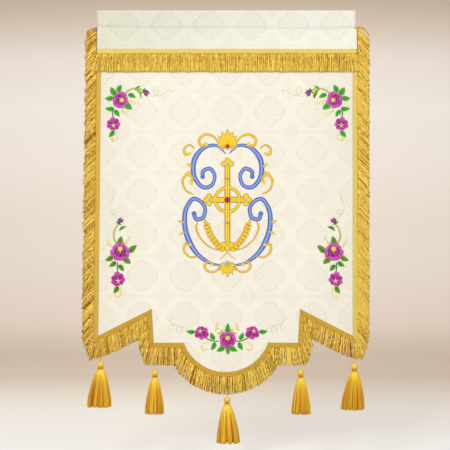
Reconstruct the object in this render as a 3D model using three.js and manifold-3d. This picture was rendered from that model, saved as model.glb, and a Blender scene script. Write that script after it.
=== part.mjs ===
// A processional church banner: a damask field with a cut-out lower edge, hung from a pole
// sleeve, trimmed with gold bullion fringe and five tassels. Millimetres, +Z up, the front
// faces -Y, and the origin is the middle of the banner's top edge.
import * as THREE from "three";
import { mergeVertices } from "three/addons/utils/BufferGeometryUtils.js";
import Module from "manifold-3d";

const wasm = await Module();
wasm.setup();

// The field inside its fringe's braid, measured down from the banner's top edge.
const FIELD = {
  halfWidth: 438,
  top: -62,
  cornerZ: -1130,
  notchHalf: 256,
  notchZ: -1036.5,
  riserFootHalf: 249,
  stepZ: -1154,
  scallopRadius: 155,
  scallopZ: -1256,
};

// Thicknesses across the cloth, and the clear space that sewn layers keep.
const CLOTH = 1.6;
const BRAID_THICK = 2;
const LAYER_GAP = 0.4;

// The braid at the head of the fringe, and the locks of cord that hang from it.
const BRAID_WIDTH = 17;
const BRAID_OVERHANG = 1.5;
const LOCK = {
  length: 60,
  width: 13,
  depth: 3.6,
  shoulderDepth: 2.88,
  pitch: 18.5,
  root: 5,
  lengthSpread: 0.035,
  leanSpread: 0.02,
};

// The pole sleeve: a flat tube of cloth whose tail is sewn behind the field. fold is half the
// width of its flat top, bulge shapes its sides, and over its rise, a share of its height, it
// comes forward from its seam.
const SLEEVE = {
  left: -448,
  right: 450,
  depth: 20,
  cloth: 1.4,
  tail: 14,
  fold: 2.2,
  bulge: 0.8,
  rise: 1 / 2.2,
  steps: 8,
};

// The flap that covers the seam between the sleeve and the field.
const FLAP = { left: -452.5, right: 452.5, top: -60, braidZ: -135.5 };

// Where the layers lie, front to back: the sleeve's middle is at Y 0.
const FIELD_FRONT = -6;
const FIELD_BACK = FIELD_FRONT + CLOTH;
const BRAID_BACK = FIELD_FRONT - LAYER_GAP;
const FLAP_BACK = BRAID_BACK - LOCK.shoulderDepth - LAYER_GAP;
const FLAP_FRONT = FLAP_BACK - CLOTH;
const SEAM_GAP = 0.5;

// Each tassel hangs from the field's lower edge: x of its cord, top of its head, its skirt's
// width and how far the skirt's foot drifts sideways.
const TASSELS = [
  { name: "tassel_1", x: -430, headTop: -1220, length: 157, width: 86, drift: -5, sewnZ: -1136 },
  { name: "tassel_2", x: -245, headTop: -1248, length: 152, width: 71, drift: -1, sewnZ: -1158 },
  { name: "tassel_3", x: 4, headTop: -1342, length: 159, width: 85, drift: 4, sewnZ: -1260 },
  { name: "tassel_4", x: 259, headTop: -1248, length: 152, width: 71, drift: 1, sewnZ: -1158 },
  { name: "tassel_5", x: 444, headTop: -1227, length: 158, width: 87, drift: -6, sewnZ: -1138 },
];
const TASSEL_CORD = { radius: 1.5, sides: 8, gap: 0.3 };

// A tassel's head: a wound ball over a tied neck, as radius and depth below its top.
const NECK_DEPTH = 23;
const HEAD_PROFILE = [
  { radius: 0, down: 27 },
  { radius: 9.5, down: 27 },
  { radius: 7.6, down: NECK_DEPTH },
  { radius: 9.84, down: 19 },
  { radius: 12, down: 12 },
  { radius: 10.8, down: 6.5 },
  { radius: 7.2, down: 2 },
  { radius: 2.4, down: 0 },
  { radius: 0, down: 0 },
];
const HEAD_SIDES = 12;

// A tassel's skirt: locks round a flattened cone that widens by these shares on the way down.
const SKIRT = { locks: 12, flatness: 0.5, parting: 1.6, lengthSpread: 3, overlap: 1 };
const SKIRT_FORM = [
  { share: 0, spread: 0.16 },
  { share: 0.16, spread: 0.46 },
  { share: 0.55, spread: 0.78 },
  { share: 1, spread: 1 },
];

// The cloth hangs almost flat. These few soft flutes and the slight flare of its left edge
// are what keeps it from being a plain board.
const FLUTES = [
  { height: 2.1, length: 95, lag: 0.6, lean: 0 },
  { height: 1.1, length: 62, lag: 2.1, lean: 900 },
];
const FLUTES_START = -90;
const FLUTES_FULL = -520;
const LEFT_IN_AT_TOP = 5.4;
const LEFT_OUT_AT_FOOT = 5.7;
const RIGHT_OUT = 1.6;

// The widest facet on a piece that follows the flutes, and the rows of facets down the field.
const FACET = 52;
const FIELD_ROWS = 20;

const damask = new THREE.MeshStandardMaterial({ color: 0xf1ecd9, roughness: 0.62 });
const goldBraid = new THREE.MeshStandardMaterial({ color: 0xd9a92f, roughness: 0.5 });
const goldSilk = new THREE.MeshStandardMaterial({ color: 0xdb9a1c, roughness: 0.42 });

const clamp01 = (value) => Math.min(1, Math.max(0, value));
const smooth = (share) => share * share * (3 - 2 * share);
const mix = (a, b, share) => a + (b - a) * share;

// A repeatable spread from -1 to 1 that makes neighbouring locks differ.
const uneven = (n) => 2 * Math.abs((Math.sin(n * 12.9898 + 4.1) * 43758.5453) % 1) - 1;

// How far the cloth stands forward or back at a place on it.
function fluteY(x, z) {
  const grown = smooth(clamp01((FLUTES_START - z) / (FLUTES_START - FLUTES_FULL)));
  const sum = FLUTES.reduce((total, flute) => {
    const drift = flute.lean ? z / flute.lean : 0;
    return total + flute.height * Math.sin(x / flute.length + flute.lag + drift);
  }, 0);
  return grown * sum;
}

// How far a place on the cloth lies sideways from the straight cut.
function flareX(x, z) {
  const side = Math.abs(x) / FIELD.halfWidth;
  if (x > 0) return RIGHT_OUT * side * side;
  const down = clamp01((FIELD.top - z) / (FIELD.top - FIELD.cornerZ));
  return side * side * mix(LEFT_IN_AT_TOP, -LEFT_OUT_AT_FOOT, down);
}

// Lays a straight piece on the hanging cloth.
function drape(geometry) {
  const place = geometry.attributes.position;
  for (let i = 0; i < place.count; i++) {
    const [x, y, z] = [place.getX(i), place.getY(i), place.getZ(i)];
    place.setXYZ(i, x + flareX(x, z), y + fluteY(x, z), z);
  }
  return geometry;
}

// Six times the signed volume, which is negative where the faces point inwards.
function sixVolumes(points, index) {
  let total = 0;
  for (let i = 0; i < index.length; i += 3) {
    const [a, b, c] = [points[index[i]], points[index[i + 1]], points[index[i + 2]]];
    total += a.dot(new THREE.Vector3().crossVectors(b, c));
  }
  return total;
}

// A closed geometry from points and triangles, turned so that its faces point out.
function closedGeometry(points, index) {
  const faces = sixVolumes(points, index) < 0 ? index.slice().reverse() : index;
  const geometry = new THREE.BufferGeometry();
  const flat = points.flatMap((point) => [point.x, point.y, point.z]);
  geometry.setAttribute("position", new THREE.Float32BufferAttribute(flat, 3));
  geometry.setIndex(faces);
  return geometry;
}

// A skin carried through a row of convex rings of the same size, with flat ends.
function loft(rings) {
  const sides = rings[0].length;
  const index = [];
  for (let r = 0; r + 1 < rings.length; r++) {
    for (let s = 0; s < sides; s++) {
      const [a, b] = [r * sides + s, r * sides + ((s + 1) % sides)];
      index.push(a, b, a + sides, b, b + sides, a + sides);
    }
  }
  const last = (rings.length - 1) * sides;
  for (let s = 1; s + 1 < sides; s++) {
    index.push(0, s + 1, s, last, last + s, last + s + 1);
  }
  return closedGeometry(rings.flat(), index);
}

function toSolid(geometry) {
  const bare = geometry.clone();
  bare.deleteAttribute("normal");
  bare.deleteAttribute("uv");
  const merged = mergeVertices(bare, 1e-4);
  return new wasm.Manifold(
    new wasm.Mesh({
      numProp: 3,
      vertProperties: new Float32Array(merged.attributes.position.array),
      triVerts: new Uint32Array(merged.index.array),
    }),
  );
}

function toGeometry(solid) {
  const mesh = solid.getMesh();
  const geometry = new THREE.BufferGeometry();
  geometry.setAttribute("position", new THREE.BufferAttribute(mesh.vertProperties, 3));
  geometry.setIndex(new THREE.BufferAttribute(mesh.triVerts, 1));
  return geometry;
}

// One solid from pieces that run into each other.
function fuse(geometries) {
  const solids = geometries.map(toSolid);
  return toGeometry(solids.slice(1).reduce((joined, solid) => joined.add(solid), solids[0]));
}

function namedMesh(name, geometry, material) {
  const shown = geometry.index ? geometry.toNonIndexed() : geometry;
  shown.computeVertexNormals();
  const mesh = new THREE.Mesh(shown, material);
  mesh.name = name;
  return mesh;
}

const at = (x, z) => new THREE.Vector2(x, z);

// The line where the braid's inner edge lies on the field, from the top of the left side round
// the cut-out foot to the top of the right side, with the index of each corner.
function innerLine() {
  const centreZ = FIELD.scallopZ + FIELD.scallopRadius;
  const halfAngle = Math.acos((centreZ - FIELD.stepZ) / FIELD.scallopRadius);
  const arcSteps = 14;
  const arc = Array.from({ length: arcSteps + 1 }, (_, i) => {
    const turn = mix(-halfAngle, halfAngle, i / arcSteps);
    return at(FIELD.scallopRadius * Math.sin(turn), centreZ - FIELD.scallopRadius * Math.cos(turn));
  });
  const left = [
    at(-FIELD.halfWidth, FIELD.top),
    at(-FIELD.halfWidth, FIELD.cornerZ),
    at(-FIELD.notchHalf, FIELD.notchZ),
    at(-FIELD.riserFootHalf, FIELD.stepZ),
  ];
  const right = left.map((point) => at(-point.x, point.y)).reverse();
  const points = [...left, ...arc, ...right];
  const last = points.length - 1;
  return { points, corners: [0, 1, 2, 3, last - 3, last - 2, last - 1, last] };
}

// The line moved outwards by a distance, with mitred corners.
function offsetLine(points, distance) {
  const outward = points.slice(1).map((point, i) => {
    const along = point.clone().sub(points[i]).normalize();
    return at(along.y, -along.x);
  });
  return points.map((point, i) => {
    const before = outward[Math.max(0, i - 1)];
    const after = outward[Math.min(outward.length - 1, i)];
    const middle = before.clone().add(after).normalize();
    return point.clone().addScaledVector(middle, distance / middle.dot(before));
  });
}

const line = innerLine();
const braidEdge = offsetLine(line.points, BRAID_WIDTH);
const cutEdge = offsetLine(line.points, BRAID_WIDTH - BRAID_OVERHANG);

// Points shared out along a stretch, no further apart than a step.
function subdivide(points, step) {
  const out = [points[0]];
  for (let i = 1; i < points.length; i++) {
    const pieces = Math.ceil(points[i].distanceTo(points[i - 1]) / step);
    for (let k = 1; k <= pieces; k++) {
      out.push(points[i - 1].clone().lerp(points[i], k / pieces));
    }
  }
  return out;
}

// The field: columns of the cloth from its top to its cut edge, front and back faces, closed
// round the rim by strips.
function fieldGeometry() {
  const rows = FIELD_ROWS;
  const columns = subdivide(cutEdge.slice(1, -1), FACET).map((edge) => {
    const heights = Array.from({ length: rows + 1 }, (_, i) => mix(FIELD.top, edge.y, i / rows));
    return { x: edge.x, heights };
  });
  const face = (y) => columns.flatMap((c) => c.heights.map((z) => new THREE.Vector3(c.x, y, z)));
  const points = [...face(FIELD_FRONT), ...face(FIELD_BACK)];
  const [high, back] = [rows + 1, columns.length * (rows + 1)];
  const index = [];
  const quad = (a, b, c, d) => index.push(a, b, c, a, c, d);
  for (let c = 0; c + 1 < columns.length; c++) {
    for (let r = 0; r < rows; r++) {
      const here = c * high + r;
      quad(here, here + 1, here + high + 1, here + high);
      quad(back + here, back + here + high, back + here + high + 1, back + here + 1);
    }
    const [top, foot] = [c * high, c * high + rows];
    quad(top, top + high, back + top + high, back + top);
    quad(foot + high, foot, back + foot, back + foot + high);
  }
  for (let r = 0; r < rows; r++) {
    const end = (columns.length - 1) * high + r;
    quad(r + 1, r, back + r, back + r + 1);
    quad(end, end + 1, back + end + 1, back + end);
  }
  return closedGeometry(points, index);
}

// A flat strip between two rows of points, from one depth to another.
function ribbon(inner, outer, front, back) {
  const rings = inner.map((a, i) => {
    const b = outer[i];
    return [
      new THREE.Vector3(a.x, front, a.y),
      new THREE.Vector3(b.x, front, b.y),
      new THREE.Vector3(b.x, back, b.y),
      new THREE.Vector3(a.x, back, a.y),
    ];
  });
  return loft(rings);
}

// One lock of fringe cord: a four-sided spindle from its root in the braid to its tip. lean is
// its angle from straight down, and forward is how far it stands in front of its own braid.
function lockGeometry(root, lean, length, braidBack, forward) {
  const down = at(Math.sin(lean), -Math.cos(lean));
  const across = at(Math.cos(lean), Math.sin(lean));
  const stations = [
    { share: -LOCK.root / length, width: 0.72, depth: BRAID_THICK * 0.8, lift: 0.2 },
    { share: 0.12, width: 0.86, depth: LOCK.shoulderDepth, lift: forward * 0.7 },
    { share: 1, width: 0.8, depth: LOCK.depth, lift: forward },
  ];
  const rings = stations.map((station) => {
    const centre = root.clone().addScaledVector(down, station.share * length);
    const half = (LOCK.width * station.width) / 2;
    const [left, right] = [-half, half].map((side) => centre.clone().addScaledVector(across, side));
    const back = braidBack - station.lift;
    const front = back - station.depth;
    return [
      new THREE.Vector3(left.x, front, left.y),
      new THREE.Vector3(right.x, front, right.y),
      new THREE.Vector3(right.x, back, right.y),
      new THREE.Vector3(left.x, back, left.y),
    ];
  });
  return loft(rings);
}

// A line's total length, and the point and the slope at a distance along it.
function walk(points) {
  const runs = points.slice(1).map((point, i) => point.distanceTo(points[i]));
  const total = runs.reduce((a, b) => a + b, 0);
  const spot = (distance) => {
    let [left, i] = [distance, 0];
    while (i < runs.length - 1 && left > runs[i]) {
      left -= runs[i];
      i += 1;
    }
    const along = points[i + 1].clone().sub(points[i]).normalize();
    return {
      point: points[i].clone().addScaledVector(along, left),
      slope: Math.atan2(along.y, along.x),
    };
  };
  return { total, spot };
}

// A length of fringe: its braid and its locks as one solid. Each lock leans outwards by a share
// of its edge's slope, and turns towards its neighbour's lean over the last stretch to a corner.
function fringeGeometry(inner, outer, spec) {
  const { braidBack, forward = 0, share, startLean, endLean, startGap, endGap } = spec;
  const lengths = walk(outer);
  const usable = lengths.total - startGap - endGap;
  const count = Math.max(1, Math.round(usable / LOCK.pitch));
  const locks = Array.from({ length: count }, (_, i) => {
    const distance = startGap + ((i + 0.5) / count) * usable;
    const { point, slope } = lengths.spot(distance);
    const nearStart = smooth(clamp01(1 - distance / spec.turn));
    const nearEnd = smooth(clamp01(1 - (lengths.total - distance) / spec.turn));
    const own = slope * share;
    const lean = mix(mix(own, startLean ?? own, nearStart), endLean ?? own, nearEnd);
    const long = (spec.lock ?? LOCK.length) * (1 + LOCK.lengthSpread * uneven(i + spec.seed));
    const swung = lean + LOCK.leanSpread * uneven(3 * i + spec.seed);
    return lockGeometry(point, swung, long, braidBack, forward);
  });
  return fuse([ribbon(inner, outer, braidBack - BRAID_THICK, braidBack), ...locks]);
}

// A braid's inner and outer edges between two corners, its ends drawn in from the mitres.
function stretch(from, to) {
  const drawIn = (points) => {
    const run = points.slice(line.corners[from], line.corners[to] + 1);
    const [first, last] = [run[0].distanceTo(run[1]), run.at(-1).distanceTo(run.at(-2))];
    const start = run[0].clone().lerp(run[1], LAYER_GAP / 2 / first);
    const end = run.at(-1).clone().lerp(run.at(-2), LAYER_GAP / 2 / last);
    return [start, ...run.slice(1, -1), end];
  };
  const [inner, outer] = [drawIn(line.points), drawIn(braidEdge)];
  const even = (edge) =>
    edge.slice(1).reduce(
      (made, point, i) => {
        const pieces = Math.ceil(inner[i + 1].distanceTo(inner[i]) / FACET);
        for (let k = 1; k <= pieces; k++) made.push(edge[i].clone().lerp(point, k / pieces));
        return made;
      },
      [edge[0]],
    );
  return { inner: even(inner), outer: even(outer) };
}

const degrees = THREE.MathUtils.degToRad;

// The lengths of fringe sewn round the field, by the corners that they run between. Lean is
// from straight down, towards +X where it is positive, and share is how much of an edge's own
// slope its locks take.
const EDGES = [
  {
    name: "fringe_side_left",
    corners: [0, 1],
    lock: 52,
    share: 0.5,
    startLean: degrees(-56),
    endLean: degrees(-22),
    startGap: 2,
    endGap: 6,
    turn: 70,
  },
  {
    name: "fringe_slant_left",
    corners: [1, 2],
    share: 0.38,
    startLean: degrees(-14),
    endLean: degrees(4),
    startGap: 5,
    endGap: 18,
    turn: 50,
  },
  {
    name: "fringe_riser_left",
    corners: [2, 3],
    share: 1 / 3,
    startGap: 4,
    endGap: 7,
    turn: 40,
    forward: 4.6,
  },
  {
    name: "fringe_lower",
    corners: [3, 4],
    share: 0.4,
    startLean: degrees(-14),
    endLean: degrees(14),
    startGap: 2,
    endGap: 2,
    turn: 45,
  },
  {
    name: "fringe_riser_right",
    corners: [4, 5],
    share: 1 / 3,
    startGap: 7,
    endGap: 4,
    turn: 40,
    forward: 4.6,
  },
  {
    name: "fringe_slant_right",
    corners: [5, 6],
    share: 0.38,
    startLean: degrees(-4),
    endLean: degrees(14),
    startGap: 18,
    endGap: 5,
    turn: 50,
  },
  {
    name: "fringe_side_right",
    corners: [6, 7],
    lock: 54,
    share: 0.43,
    startLean: degrees(22),
    endLean: degrees(50),
    startGap: 6,
    endGap: 2,
    turn: 70,
  },
];

function edgeFringes() {
  return EDGES.map((edge, i) => {
    const { inner, outer } = stretch(...edge.corners);
    const spec = { ...edge, braidBack: BRAID_BACK, seed: 40 * i };
    return namedMesh(edge.name, drape(fringeGeometry(inner, outer, spec)), goldBraid);
  });
}

// The fringe on the flap's lower edge, whose end locks fan out over the side fringes.
function flapFringe() {
  const across = subdivide([at(FLAP.left, FLAP.braidZ), at(FLAP.right, FLAP.braidZ)], FACET);
  const lower = across.map((point) => at(point.x, point.y - BRAID_WIDTH));
  const spec = {
    braidBack: FLAP_FRONT - LAYER_GAP,
    share: 0,
    startLean: degrees(-16),
    endLean: degrees(16),
    startGap: 1,
    endGap: 1,
    turn: 45,
    seed: 7,
  };
  return namedMesh("fringe_top", drape(fringeGeometry(across, lower, spec)), goldBraid);
}

// The flap: a front sheet whose top turns back over the field's upper edge.
function flapGeometry() {
  const foot = FLAP.braidZ - BRAID_WIDTH + BRAID_OVERHANG;
  const xs = subdivide([at(FLAP.left, 0), at(FLAP.right, 0)], FACET).map((point) => point.x);
  const fall = [FLAP.top - CLOTH, (FLAP.top + foot) / 2, foot];
  const front = xs.map((x) => [
    new THREE.Vector3(x, FLAP_FRONT, FLAP.top),
    new THREE.Vector3(x, FLAP_BACK, FLAP.top),
    new THREE.Vector3(x, FLAP_BACK, FLAP.top - CLOTH),
    new THREE.Vector3(x, FLAP_FRONT, FLAP.top - CLOTH),
  ]);
  const falls = fall.slice(1).map((lower, i) =>
    loft(
      xs.map((x) => [
        new THREE.Vector3(x, FLAP_FRONT, fall[i]),
        new THREE.Vector3(x, FLAP_BACK, fall[i]),
        new THREE.Vector3(x, FLAP_BACK, lower),
        new THREE.Vector3(x, FLAP_FRONT, lower),
      ]),
    ),
  );
  const turnBack = loft(
    xs.map((x) => [
      new THREE.Vector3(x, FLAP_BACK, FLAP.top),
      new THREE.Vector3(x, FIELD_BACK, FLAP.top),
      new THREE.Vector3(x, FIELD_BACK, FLAP.top - CLOTH + SEAM_GAP),
      new THREE.Vector3(x, FLAP_BACK, FLAP.top - CLOTH + SEAM_GAP),
    ]),
  );
  return fuse([loft(front), ...falls, turnBack]);
}

// Half the depth of the sleeve's lens at a share of its height, 0 at its seam and 1 at its top.
const lensHalf = (share) => (SLEEVE.depth / 2) * Math.sin(Math.PI * share) ** SLEEVE.bulge;

// The sleeve: a lens-shaped tube of one cloth, open at both ends, closed below by a flat tail.
function sleeveGeometry() {
  const tailFront = FIELD_BACK + LAYER_GAP;
  const tailBack = tailFront + 2 * SLEEVE.cloth;
  const seamY = (tailFront + tailBack) / 2;
  const seamZ = FLAP.top + SEAM_GAP;
  const wall = (side, grow) =>
    Array.from({ length: SLEEVE.steps - 1 }, (_, i) => {
      const share = (i + 1) / SLEEVE.steps;
      const middle = mix(seamY, 0, smooth(clamp01(share / SLEEVE.rise)));
      return at(middle + side * (lensHalf(share) + grow), mix(seamZ, -SLEEVE.cloth, share));
    });
  const section = new THREE.Shape([
    at(tailFront, seamZ - SLEEVE.tail),
    at(tailFront, seamZ),
    ...wall(-1, SLEEVE.cloth),
    at(-SLEEVE.fold, 0),
    at(SLEEVE.fold, 0),
    ...wall(1, SLEEVE.cloth).reverse(),
    at(tailBack, seamZ),
    at(tailBack, seamZ - SLEEVE.tail),
  ]);
  const inside = [
    at(seamY, seamZ + 2),
    ...wall(-1, 0),
    at(0, -SLEEVE.cloth),
    ...wall(1, 0).reverse(),
  ];
  section.holes.push(new THREE.Path(inside.reverse()));
  const tube = new THREE.ExtrudeGeometry(section, {
    depth: SLEEVE.right - SLEEVE.left,
    bevelEnabled: false,
  });
  // The section's axes become Y and Z, and its extrusion runs along X.
  const turn = new THREE.Matrix4().makeBasis(
    new THREE.Vector3(0, 1, 0),
    new THREE.Vector3(0, 0, 1),
    new THREE.Vector3(1, 0, 0),
  );
  return tube.applyMatrix4(turn).translate(SLEEVE.left, 0, 0);
}

// The tassel's cord runs down behind the fringe, between the field's back and the head.
const CORD_Y = FIELD_BACK + LAYER_GAP + TASSEL_CORD.radius;

// The place of a tassel on the hanging cloth, which its cord and head share.
function tasselSpot(tassel) {
  return {
    x: tassel.x + flareX(tassel.x, tassel.sewnZ),
    y: CORD_Y + fluteY(tassel.x, tassel.sewnZ),
  };
}

function tasselCord(tassel) {
  const long = tassel.sewnZ - tassel.headTop - TASSEL_CORD.gap;
  const { radius, sides } = TASSEL_CORD;
  const cord = new THREE.Mesh(new THREE.CylinderGeometry(radius, radius, long, sides, 1), goldSilk);
  const spot = tasselSpot(tassel);
  cord.name = tassel.name.replace("tassel", "tassel_cord");
  cord.rotation.x = Math.PI / 2;
  cord.position.set(spot.x, spot.y, tassel.sewnZ - long / 2);
  return cord;
}

// The head, turned about its axis.
function headGeometry() {
  const profile = HEAD_PROFILE.map(({ radius, down }) => at(radius, -down));
  return new THREE.LatheGeometry(profile, HEAD_SIDES).rotateX(Math.PI / 2);
}

// One lock of the skirt: a three-sided wedge of the flattened cone, from the neck to the foot.
// The locks touch at the neck and part from each other below it.
function skirtLock(tassel, i) {
  const long = tassel.length - NECK_DEPTH + SKIRT.lengthSpread * uneven(i + tassel.x);
  const turn = (2 * Math.PI) / SKIRT.locks;
  const rings = SKIRT_FORM.map(({ share, spread }) => {
    const radius = (tassel.width / 2) * spread;
    const room = 1 - Math.min(0.5, SKIRT.parting / (radius * turn));
    const z = -NECK_DEPTH + SKIRT.overlap - share * long;
    const place = (reach, angle) => {
      const x = reach * Math.cos(angle) + tassel.drift * share;
      return new THREE.Vector3(x, SKIRT.flatness * reach * Math.sin(angle), z);
    };
    const half = (mix(1, room, clamp01(share * 8)) * turn) / 2;
    const inner = radius * mix(0.05, 0.2, clamp01(share * 4));
    return [place(radius, i * turn - half), place(radius, i * turn + half), place(inner, i * turn)];
  });
  return loft(rings);
}

function tasselMesh(tassel) {
  const locks = Array.from({ length: SKIRT.locks }, (_, i) => skirtLock(tassel, i));
  const mesh = namedMesh(tassel.name, fuse([headGeometry(), ...locks]), goldSilk);
  const spot = tasselSpot(tassel);
  mesh.position.set(spot.x, spot.y, tassel.headTop);
  return mesh;
}

const banner = new THREE.Group();
banner.name = "church_banner";
banner.add(
  namedMesh("pole_sleeve", sleeveGeometry(), damask),
  namedMesh("flap", drape(flapGeometry()), damask),
  namedMesh("field", drape(fieldGeometry()), damask),
  flapFringe(),
  ...edgeFringes(),
  ...TASSELS.map(tasselCord),
  ...TASSELS.map(tasselMesh),
);

export default banner;
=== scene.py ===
"""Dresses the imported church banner: damask, gold braid and fringe, tassels and embroidery.

Sizes are in millimetres on the banner and turn into metres where a mesh is made. The front faces
-Y, X runs to the right and Z up from the middle of the banner's top edge.
"""

import math
from typing import NamedTuple

import bpy
import numpy as np
from bpy.props import FloatProperty, FloatVectorProperty, IntProperty, PointerProperty
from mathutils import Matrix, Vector


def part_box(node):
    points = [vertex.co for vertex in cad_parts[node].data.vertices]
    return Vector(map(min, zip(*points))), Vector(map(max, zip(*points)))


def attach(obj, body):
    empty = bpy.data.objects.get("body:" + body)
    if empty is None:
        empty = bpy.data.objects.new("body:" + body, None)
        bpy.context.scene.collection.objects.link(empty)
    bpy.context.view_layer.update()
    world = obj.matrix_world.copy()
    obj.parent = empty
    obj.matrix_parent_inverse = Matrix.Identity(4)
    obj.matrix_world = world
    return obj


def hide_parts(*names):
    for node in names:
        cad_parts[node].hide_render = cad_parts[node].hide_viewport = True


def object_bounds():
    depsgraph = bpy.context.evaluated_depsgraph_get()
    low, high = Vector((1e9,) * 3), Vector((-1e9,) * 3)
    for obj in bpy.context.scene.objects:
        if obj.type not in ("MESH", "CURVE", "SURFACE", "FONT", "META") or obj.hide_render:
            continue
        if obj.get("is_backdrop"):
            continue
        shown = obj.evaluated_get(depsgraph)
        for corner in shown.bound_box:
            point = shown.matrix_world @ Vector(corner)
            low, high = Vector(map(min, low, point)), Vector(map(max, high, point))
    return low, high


bl_info = {
    "name": "Church banner",
    "version": (1, 0, 0),
    "blender": (4, 5, 0),
    "location": "3D View > Sidebar > Banner",
    "description": "Damask, bullion fringe, tassels and embroidery for a packed church banner",
    "category": "Object",
}

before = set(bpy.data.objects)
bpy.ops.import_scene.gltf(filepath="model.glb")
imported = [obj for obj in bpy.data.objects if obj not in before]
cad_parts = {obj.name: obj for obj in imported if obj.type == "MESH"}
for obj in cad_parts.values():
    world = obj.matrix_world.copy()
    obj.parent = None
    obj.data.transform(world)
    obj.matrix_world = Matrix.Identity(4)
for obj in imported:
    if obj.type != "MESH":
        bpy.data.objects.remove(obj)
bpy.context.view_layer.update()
MM = 0.001
TURN = 2 * math.pi

# The field inside its braid, and the braid round it.
FIELD_HALF = 438
FIELD_TOP = -62
CORNER_Z = -1130
NOTCH = (256, -1036.5)
STEP = (249, -1154)
SCALLOP_RADIUS = 155
SCALLOP_Z = -1256
BRAID_WIDTH = 17
BRAID_OVERHANG = 1.5

# The lowest level row of the field's mesh, a little above the notches.
LAST_LEVEL_ROW = -1012

# Where the layers lie, front to back.
CLOTH = 1.6
LAYER_GAP = 0.4
FIELD_FRONT = -6
FIELD_BACK = FIELD_FRONT + CLOTH
BRAID_BACK = FIELD_FRONT - LAYER_GAP
BRAID_THICK = 2
STITCH_FRONT = -8.15
LOOSE_END_FRONT = -9
FLAP_FRONT = -11.28
FLAP_HALF = 452.5
FLAP_TOP = -60
FLAP_BRAID_Z = -135.5

# The pole sleeve, and the inner face of its front, from the seam up to the top edge, as depth
# and height.
SLEEVE_LEFT = -448
SLEEVE_RIGHT = 450
SLEEVE_DEPTH = 20
SLEEVE_CLOTH = 1.4
SLEEVE_TAIL = 14
SLEEVE_FRONT = ((-2.6, -59.5), (-5.4, -58.2), (-6.6, -55), (-7.8, -49), (-8.5, -40),
                (-8.5, -27), (-7.6, -16), (-5.6, -8), (-2.8, -3.2), (0, -1.4))

# The line that the flower sprays mirror each other about.
MIDDLE_X = 3.5


def smooth(share):
    """An ease from 0 to 1 that is level at both ends."""
    held = np.clip(share, 0, 1)
    return held * held * (3 - 2 * held)


def mix(a, b, share):
    """The value a share of the way from a to b."""
    return a + (b - a) * share


def shares(count):
    """Evenly spaced shares from 0 to 1."""
    return np.linspace(0, 1, count)


def angles(count):
    """Angles evenly round a circle, from 0."""
    return TURN * np.arange(count) / count


def joined(*parts):
    """Points from their coordinates, each spread over the others' grid."""
    return np.stack(np.broadcast_arrays(*parts), axis=-1)


def bearing(angle):
    """The direction at an angle: its cosine and its sine."""
    return joined(np.cos(angle), np.sin(angle))


def unit(ways):
    """Directions brought to a length of 1."""
    return ways / np.linalg.norm(ways, axis=-1, keepdims=True)


def square_to(ways):
    """Directions in X and Z turned by a quarter to the left."""
    return joined(-ways[..., 1], ways[..., 0])


def dome(share):
    """A half circle's height over a width from -1 to 1."""
    return np.sqrt(np.clip(1 - share * share, 0, 1))


def drift_y(x, z):
    """How far the hanging cloth stands forward or back: two long sines across it, grown downwards,
    and a much smaller crinkle of sines that cross each other."""
    grown = smooth((-90 - z) / 430)
    flutes = 2.1 * np.sin(x / 95 + 0.6) + 1.1 * np.sin(x / 62 + 2.1 + z / 900)
    crinkle = 0.34 * np.sin(x / 33 + z / 150 + 1.3) * np.sin(z / 120 + x / 210)
    fine = 0.16 * np.sin(x / 14 + 1.1 * np.sin(z / 85)) * np.sin(z / 61 + 0.7)
    return grown * flutes + smooth((-70 - z) / 60) * (crinkle + fine)


def drift_x(x, z):
    """How far a place on the cloth lies sideways from the straight cut: a flare that grows with
    the square of its distance from the middle, inwards at the left's top and outwards below."""
    side = np.abs(x) / FIELD_HALF
    down = np.clip((FIELD_TOP - z) / (FIELD_TOP - CORNER_Z), 0, 1)
    return side * side * np.where(x > 0, 1.6, mix(5.4, -5.7, down))


def hang(points):
    """Lays flat points on the hanging cloth."""
    x, y, z = np.moveaxis(points, -1, 0)
    return joined(x + drift_x(x, z), y + drift_y(x, z), z)


class Patch:
    """Points in millimetres, groups of faces with a UV for each corner, and a tone and a tint
    for each point."""

    def __init__(self, points, faces, tone=0, tint=None):
        self.points = points.reshape(-1, 3)
        self.faces = faces
        self.tone = np.broadcast_to(tone, points.shape[:-1]).reshape(-1)
        self.tint = None
        if tint is not None:
            self.tint = np.broadcast_to(tint, points.shape).reshape(-1, 3)

    def hung(self):
        """The same patch, laid on the hanging cloth."""
        return Patch(hang(self.points), self.faces, self.tone, self.tint)

    def reflected(self):
        """The same patch on the other side of the sprays' middle, its faces turned to match."""
        points = self.points * (-1, 1, 1) + (2 * MIDDLE_X, 0, 0)
        faces = [
            (corners[:, ::-1], uv.reshape(*corners.shape, 2)[:, ::-1].reshape(-1, 2))
            for corners, uv in self.faces
        ]
        return Patch(points, faces, self.tone, self.tint)


def reflections(patches):
    """Patches on the other side of the sprays' middle."""
    return [patch.reflected() for patch in patches]


def rim_of(grid):
    """The indices round a grid's edge, in the turning sense of its faces."""
    return np.concatenate([grid[0, :-1], grid[:-1, -1], grid[-1, :0:-1], grid[:0:-1, 0]])


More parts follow.
